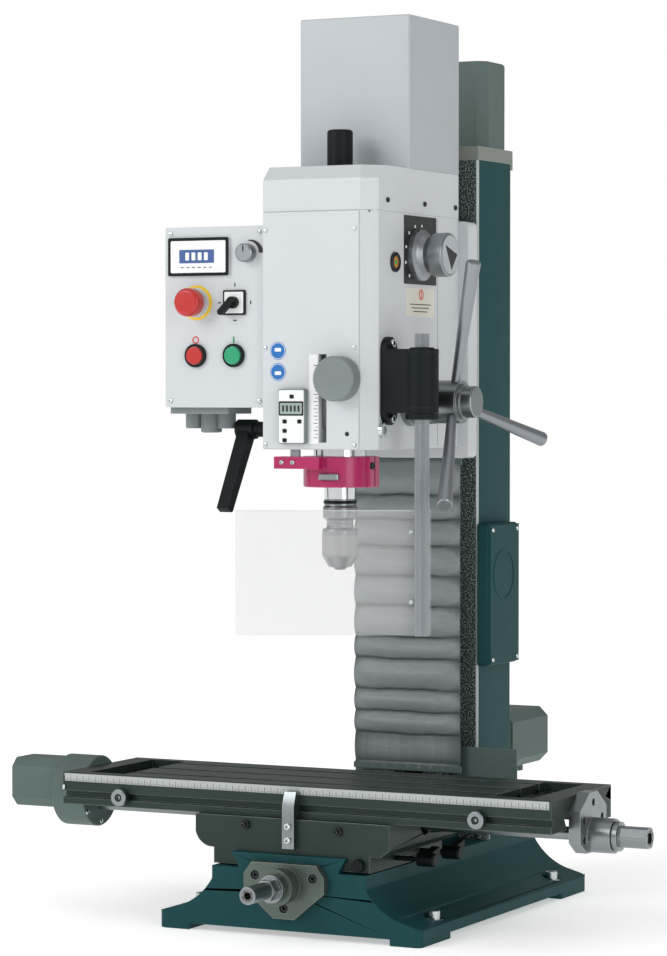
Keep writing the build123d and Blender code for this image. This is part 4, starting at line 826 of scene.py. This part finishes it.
# %% Guard panel, bent along its free edge
rail_x, rail_y, _ = middle("guard_rail")
guard_low, guard_high = edges("guard_panel")
guard_angle = radians(26.7)
GUARD_RIGHT = Vector((cos(guard_angle), sin(guard_angle), 0))
GUARD_OUT = Vector((sin(guard_angle), -cos(guard_angle), 0))
FACINGS["guard"] = (tuple(GUARD_RIGHT), (0, 0, 1), tuple(GUARD_OUT))
SHEET_LENGTH, SHEET_THICKNESS, SHEET_FRONT, SHEET_RIGHT = 276.0, 3.0, -10.0, 13.0
LIP_LENGTH, LIP_ANGLE, BEND_LENGTH, BEND_STEPS = 18.0, radians(14), 6.0, 4
TOP_EDGE = 1.2


def clear_sheet(name, density, tint):
    """Clear plastic: mostly see-through, with a slight haze."""
    material = finish(name, tint, 0.2, bump=0.03, drift=0.02, film=0.06)
    material.node_tree.nodes["Principled BSDF"].inputs["Alpha"].default_value = density
    return material


guard_clear = clear_sheet("clear_guard_sheet", 0.22, srgb(206, 208, 208))
guard_edge = clear_sheet("clear_guard_edge", 0.5, srgb(222, 226, 226))


def sheet_line(offset):
    """The sheet's line seen from above, from its rail edge to its bent lip."""
    front = SHEET_FRONT - offset
    bend = SHEET_RIGHT - SHEET_LENGTH + LIP_LENGTH + BEND_LENGTH / 2
    line = [(SHEET_RIGHT, front), (bend, front)]
    for i in range(1, BEND_STEPS + 1):
        share = i / BEND_STEPS
        turned = LIP_ANGLE * share
        line.append((bend - BEND_LENGTH / 2 * (sin(turned) + share),
                     front - 2 * BEND_LENGTH * (1 - cos(turned))))
    (x, y), rest = line[-1], LIP_LENGTH - BEND_LENGTH
    return line + [(x - rest * cos(LIP_ANGLE), y - rest * sin(LIP_ANGLE))]


def guard_point(across, out, z):
    """A point beside the rail, in the guard's own directions."""
    return Vector((rail_x, rail_y, z)) + GUARD_RIGHT * across + GUARD_OUT * out


def sheet_piece(name, bottom, top, material):
    """The bent sheet between two heights."""
    front = sheet_line(0)
    outline = front + sheet_line(SHEET_THICKNESS)[::-1]
    count = len(outline)
    points = [guard_point(a, o, z) for z in (bottom, top) for a, o in outline]
    faces = [(i, (i + 1) % count, count + (i + 1) % count, count + i) for i in range(count)]
    for level in (0, count):
        for i in range(len(front) - 1):
            faces.append((level + i, level + i + 1, level + count - 2 - i, level + count - 1 - i))
    return add_mesh(name, points, faces, "guard", material)


guard_sheet = sheet_piece("guard_sheet", guard_low.z, guard_high.z - TOP_EDGE, guard_clear)
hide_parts("guard_panel")
sheet_piece("guard_sheet_top_edge", guard_high.z - TOP_EDGE, guard_high.z, guard_edge)
for index, up in enumerate((143, 46)):
    socket_screw(f"guard_screw_{index}", 3.4, 2.6,
                 guard_point(-14.5, SHEET_FRONT, guard_low.z + up), "guard", "guard", zinc_plate)
bracket_low, bracket_high = edges("guard_bracket")
bracket_y = middle("guard_bracket")[1]
for index, z in enumerate((bracket_high.z - 9, bracket_low.z + 9)):
    socket_screw(f"bracket_screw_{index}", 6, 4, (bracket_low.x + 9, bracket_y, z), *ON_SIDE,
                 zinc_plate)
for index, z in enumerate((bracket_low.z + 24, bracket_high.z - 22)):
    ring(f"bracket_band_{index}", 23.6, 22.6, 2.2, (rail_x, rail_y, z), "top", "head",
         *BLACK_PART, 0.4)
print("guard made, pieces so far", len(made))

# %% [markdown]
# ## The pleated cloth
# A coated cloth covers the column's dovetail. It is gathered in a dozen pleats that sag a little
# under their own weight, so each pleat bulges most in its lower half and tucks in sharply at its
# fold. The mesh is a grid whose depth follows that curve, with slow waves along every fold. It
# stretches between the base and the slide, and hangs on neither body.

# %% Bellows
cloth_low, cloth_high = edges("bellows")
fold_shares = (0.0, 0.118, 0.195, 0.281, 0.376, 0.472, 0.571, 0.641, 0.740, 0.810, 0.880, 0.972,
               1.0)
cloth_top, cloth_drop = cloth_high.z, cloth_high.z - cloth_low.z
CLOTH_COLUMNS, ROWS_PER_PLEAT = 56, 12
BULGE, TUCK = 11.0, 1.0


def sway(x, seed):
    """A slow wave along a fold, the same every run."""
    return (sin(x * 0.045 + seed * 1.7) * 0.6 + sin(x * 0.11 + seed * 2.9) * 0.28
            + sin(x * 0.23 + seed * 4.3) * 0.12)


cloth_points, cloth_faces, levels = [], [], []
for pleat, (upper, lower) in enumerate(zip(fold_shares, fold_shares[1:])):
    for step in range(ROWS_PER_PLEAT):
        along = step / ROWS_PER_PLEAT
        levels.append((pleat, along, upper + (lower - upper) * along))
levels.append((len(fold_shares) - 2, 1.0, 1.0))
for pleat, along, share in levels:
    size = fold_shares[pleat + 1] - fold_shares[pleat]
    depth = BULGE * min(1.0, size / 0.09) ** 0.7 * (0.35 if pleat > len(fold_shares) - 4 else 1.0)
    lip = sin(pi * along ** 1.15) ** 0.75 if 0 < along < 1 else 0.0
    crease = 0.1 * sin(pi * min(1.0, along * 2.2)) if along < 0.45 else 0.0
    pinned = min(1.0, 14 * share) * min(1.0, 14 * (1 - share))
    for i in range(CLOTH_COLUMNS + 1):
        x = cloth_low.x + (cloth_high.x - cloth_low.x) * i / CLOTH_COLUMNS
        edge_share = abs(2 * i / CLOTH_COLUMNS - 1)
        relief = (lip - crease) * (1 + 0.1 * sway(x, pleat)) * (1 - 0.75 * edge_share ** 5)
        ripple = 0.35 * lip * sin(x * 0.5 + pleat * 2.1) * sin(x * 0.17 + pleat)
        z = cloth_top - cloth_drop * share + 1.2 * pinned * sway(x, pleat + along * 0.8)
        side = 1.4 * (lip - 0.6) * edge_share ** 4 * (1 if x > 0 else -1)
        cloth_points.append((x + side, cloth_high.y - 1.5 - TUCK - depth * relief - ripple, z))
width = CLOTH_COLUMNS + 1
for row in range(len(levels) - 1):
    for i in range(CLOTH_COLUMNS):
        first = row * width + i
        cloth_faces.append((first, first + 1, first + 1 + width, first + width))


VALLEY_DEPTH, VALLEY_SLOPE = 0.0075, 260.0


def coated_cloth():
    """Grey coated cloth: a fine weave under a satin coat, with painted shade deep in the valleys and
    lighter fold edges, partly worn and partly a painted highlight.
    """
    material = finish("coated_cloth", srgb(128, 136, 137), 0.42, bump=0.22, drift=0.3,
                      stretch=(60.0, 60.0, 300.0), worn_lit_colour=srgb(176, 182, 182), worn_lit_amount=0.5, film=0.2)
    tree = material.node_tree
    shader = tree.nodes["Principled BSDF"]
    shader.inputs["Sheen Weight"].default_value = 0.3
    shader.inputs["Sheen Roughness"].default_value = 0.4
    # painted shade: the cloth turns darker the deeper it lies in a pleat's fold
    valley_shade = math_node(tree, "MULTIPLY_ADD", own_axis(tree, "Y"), VALLEY_SLOPE,
                       -VALLEY_SLOPE * (cloth_high.y * MM - VALLEY_DEPTH), clamp=True)
    overpaint(material, valley_shade, srgb(62, 72, 72))
    weave = tree.nodes.new("ShaderNodeTexWave")
    weave.inputs["Scale"].default_value = 480.0
    weave.inputs["Distortion"].default_value = 1.5
    tree.links.new(own_place(tree), weave.inputs["Vector"])
    threads = bump_node(tree, weave.outputs["Fac"], 0.12, 0.0003)
    tree.links.new(shader.inputs["Normal"].links[0].from_socket, threads.inputs["Normal"])
    tree.links.new(threads.outputs["Normal"], shader.inputs["Normal"])
    return material


cloth = add_mesh("pleated_cloth", cloth_points, cloth_faces, None,
                 coated_cloth(), radians(80))
thickness = cloth.modifiers.new("cloth_thickness", "SOLIDIFY")
thickness.thickness = 1.0 * MM
thickness.offset = -1.0
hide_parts("bellows")
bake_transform(cloth)
for name, z, body in (("cloth_bar_top", cloth_high.z - 5, "z_slide"),
                      ("cloth_bar_foot", cloth_low.z + 5, "base")):
    slab(name, cloth_high.x - cloth_low.x + 4, 9, 1, 2.2, (0, cloth_high.y - 3, z), "front", body,
         "sheet_dark", finishes["sheet_dark"], 0.5)

# %% [markdown]
# ## Table, saddle and base
# The rule along the table is a painted steel tape. Its marks are cut from the tape's own X
# coordinate in the shader: thin lines every millimetre, longer ones every five and ten. Screws,
# studs and washers are stacked outlines again.

# %% Rule tape along the table
table_low, table_high = edges("table")

# pitch of the marks in metres, the share of it that a line takes, and the line's length in metres
RULE_MARKS = ((0.001, 0.22, 0.003), (0.005, 0.09, 0.005), (0.01, 0.07, 0.0075))


def rule_finish(start_x, low_z):
    """White enamel with millimetre, five and ten millimetre marks."""
    material = finish("rule_enamel", srgb(172, 177, 176), 0.38, bump=0.03, drift=0.05, film=0.2)
    tree = material.node_tree
    along = math_node(tree, "SUBTRACT", own_axis(tree, "X"), start_x)
    up = math_node(tree, "SUBTRACT", own_axis(tree, "Z"), low_z)
    marks = None
    for pitch, line, reach in RULE_MARKS:
        steps = math_node(tree, "DIVIDE", along, pitch)
        dark = math_node(tree, "LESS_THAN", math_node(tree, "FRACT", steps), line)
        kept = math_node(tree, "MULTIPLY", dark, math_node(tree, "LESS_THAN", up, reach))
        marks = kept if marks is None else math_node(tree, "MAXIMUM", marks, kept)
    overpaint(material, marks, srgb(40, 44, 46))
    return material


TAPE_HEIGHT, TAPE_INSET = 11.0, 3
tape_z = table_high.z - 7.0
slab("rule_tape", table_high.x - table_low.x - 2 * TAPE_INSET, TAPE_HEIGHT, 0.5, 0.5,
     (middle("table")[0], table_low.y, tape_z), "front", "table", "aluminium",
     rule_finish((table_low.x + TAPE_INSET) * MM, (tape_z - TAPE_HEIGHT / 2) * MM), 0.1)
slab("table_end_clip", 3.6, 7, 1, 3, (table_low.x + 2.4, table_low.y, table_low.z + 24), "front",
     "table", *ZINC, 0.8)
print("rule tape made")

# %% Screws of the table, flanges and stops
for side in ("left", "right"):
    stop_x, _, stop_z = middle(f"stop_collar_{side}")
    stop_y = edges(f"stop_collar_{side}")[0].y + 4
    socket_screw(f"stop_screw_{side}", 5.0, 3.2, (stop_x, stop_y, stop_z), "front",
                 f"stop_{side}", black_oxide)
screw_end_x = edges("x_screw")[1].x
_, screw_y, screw_z = middle("x_screw")
for index, (across, up) in enumerate(((-31, 22), (31, 22), (0, 44), (-31, -4), (31, -4))):
    socket_screw(f"x_flange_screw_{index}", 4.6, 7.5,
                 (table_high.x + 8, screw_y + across, screw_z + up), "right", "table", black_oxide)
drum_x, drum_z = edges("x_drive_housing")[1].x, middle("x_drive_housing")[2]
for index, (across, up) in enumerate(((-38, -27), (0, -44), (38, -27))):
    pan_screw(f"drum_screw_{index}", 3.6, (drum_x, screw_y + across, drum_z + up), "right",
              "table", zinc_plate)
flange_y, cross_z = edges("y_bearing_flange")[1].y - 6.5, middle("y_screw")[2]
for index, (across, up) in enumerate(((-44, 12), (44, 12), (0, -31))):
    socket_screw(f"y_flange_screw_{index}", 5.6, 4, (across, flange_y, cross_z + up), "front",
                 "base", black_oxide)
BUSH_DEPTH = 0.45
ring("y_sleeve_bush", 8.6, 5.2, BUSH_DEPTH, (0, edges("y_screw")[0].y + BUSH_DEPTH, cross_z),
     "front", "y_screw", "bronze", finishes["bronze"], 0.15)
ring("x_sleeve_bush", 11.5, 8.2, BUSH_DEPTH, (screw_end_x - BUSH_DEPTH, screw_y, screw_z), "right",
     "x_screw", *ZINC, 0.15)
print("table and flange screws, pieces so far", len(made))

# %% Screws of the saddle, base and column
saddle_y = edges("saddle")[0].y
pointer_x, pointer_bottom = middle("pointer_bracket")[0], edges("pointer_bracket")[0].z
for index, up in enumerate((31, 12)):
    socket_screw(f"pointer_screw_{index}", 4.6, 3.6, (pointer_x, saddle_y - 9, pointer_bottom + up),
                 "front", "saddle", zinc_plate)
for index, (x, z) in enumerate(((-69.5, 150), (72, 148))):
    stack(f"gib_nut_{index}", [(hexagon(12), -0.3), (hexagon(12), 4.4), (hexagon(10.8), 5)],
          (x, saddle_y, z), "front", "saddle", "bright_steel", black_oxide)
    socket_screw(f"gib_stud_{index}", 3.5, 9, (x, saddle_y, z), "front", "saddle", black_oxide)
hold = next(m for m in frame["record"]["mounts"] if m["name"] == "hold_down_bolts")["dims"]
FOOT_TOP, WASHER = 24, 2.5
for side, x in (("left", -hold["spacing_x_mm"] / 2), ("right", hold["spacing_x_mm"] / 2)):
    for end, y in (("front", -hold["spacing_y_mm"] / 2), ("rear", hold["spacing_y_mm"] / 2)):
        ring(f"hold_down_washer_{side}_{end}", 13, 7.4, WASHER, (x, y, FOOT_TOP), "top", "base",
             *ZINC)
        socket_screw(f"hold_down_screw_{side}_{end}", 9, 12, (x, y, FOOT_TOP + WASHER), "top",
                     "base", zinc_plate)
junction_low, junction_high = edges("junction_box")
_, junction_y, junction_z = middle("junction_box")
ring("junction_knockout", 37, 34.5, 0.9, (junction_high.x, junction_y - 4, junction_high.z - 75),
     "right", "base", "cast_teal", finishes["cast_teal"], 0.3)
for index, (across, up) in enumerate(((1, 1), (1, -1), (-1, 1), (-1, -1))):
    y = junction_y + across * ((junction_high.y - junction_low.y) / 2 - 9)
    z = junction_z + up * ((junction_high.z - junction_low.z) / 2 - 9)
    pan_screw(f"junction_screw_{index}", 3.6, (junction_high.x, y, z), "right", "base", zinc_plate)
print("all fittings", len(made))

# %% [markdown]
# ## Studio
# A wide pale floor meets a white world, so there is no horizon behind the machine from any side.
# One large soft light from the front left shapes the machine, a weaker one from the right keeps
# its side readable, and a broad top light lifts the table.

# %% Floor
FLOOR_RADIUS, FLOOR_STEPS = 40.0, 96
floor_mesh = bpy.data.meshes.new("studio_floor")
floor_mesh.from_pydata([(x, y, 0.0) for x, y in circle(FLOOR_RADIUS, FLOOR_STEPS)], [],
                       [tuple(range(FLOOR_STEPS))])
floor_mesh.shade_smooth()
floor_object = bpy.data.objects.new("studio_floor", floor_mesh)
bpy.context.scene.collection.objects.link(floor_object)
floor_paint = finish("pale_floor_paint", (0.9, 0.9, 0.9, 1.0), 0.8, bump=0.0, drift=0.01)
floor_tree = floor_paint.node_tree
floor_shader = floor_tree.nodes["Principled BSDF"]
floor_shader.inputs["Emission Color"].default_value = (1, 1, 1, 1)
distance = vector_node(floor_tree, "LENGTH", own_place(floor_tree)).outputs["Value"]
GLOW_NEAR, GLOW_PER_METRE, GLOW_MOST = 0.42, 0.12, 0.645
glow = math_node(floor_tree, "MULTIPLY_ADD", distance, GLOW_PER_METRE, GLOW_NEAR)
floor_tree.links.new(math_node(floor_tree, "MINIMUM", glow, GLOW_MOST),
                     floor_shader.inputs["Emission Strength"])
floor_mesh.materials.append(floor_paint)
print("floor made")


# %% Lights, world and camera
def soft_light(name, place_at, aim, size, power, tint=(1.0, 1.0, 1.0)):
    """A large square light aimed at a point, in metres."""
    lamp = bpy.data.lights.new(name, "AREA")
    lamp.shape = "RECTANGLE"
    lamp.size, lamp.size_y = size
    lamp.energy = power
    lamp.color = tint
    holder = bpy.data.objects.new(name, lamp)
    holder.location = place_at
    holder.rotation_euler = (Vector(aim) - Vector(place_at)).to_track_quat("-Z", "Y").to_euler()
    bpy.context.scene.collection.objects.link(holder)


soft_light("key_light", (-2.6, -4.0, 2.9), (0, 0, 0.6), (2.6, 2.6), 98)
soft_light("fill_light", (3.6, -2.4, 1.6), (0, 0, 0.6), (1.8, 2.6), 40)
soft_light("top_light", (0.0, -0.4, 3.6), (0, 0, 0), (3.0, 3.0), 14)
world = bpy.data.worlds.new("studio_world")
world.use_nodes = True
background = world.node_tree.nodes["Background"]
background.inputs["Color"].default_value = (1.0, 1.0, 1.0, 1.0)
SKY_SEEN, SKY_LIGHT = 1.0, 0.4
camera_ray = world.node_tree.nodes.new("ShaderNodeLightPath").outputs["Is Camera Ray"]
seen = math_node(world.node_tree, "MULTIPLY_ADD", camera_ray, SKY_SEEN - SKY_LIGHT, SKY_LIGHT)
world.node_tree.links.new(seen, background.inputs["Strength"])
bpy.context.scene.world = world
bpy.context.scene.view_settings.view_transform = "Standard"
camera_data = bpy.data.cameras.new("camera")
camera_data.lens = 124.65
camera_data.sensor_width = 36.0
camera_data.clip_end = 60.0
camera = bpy.data.objects.new("camera", camera_data)
camera.location = (2.07655, -4.27647, 0.743395)
camera.rotation_euler = (radians(90 - 1.4829), 0, radians(26.7148))
bpy.context.scene.collection.objects.link(camera)
bpy.context.scene.camera = camera
print("studio ready")
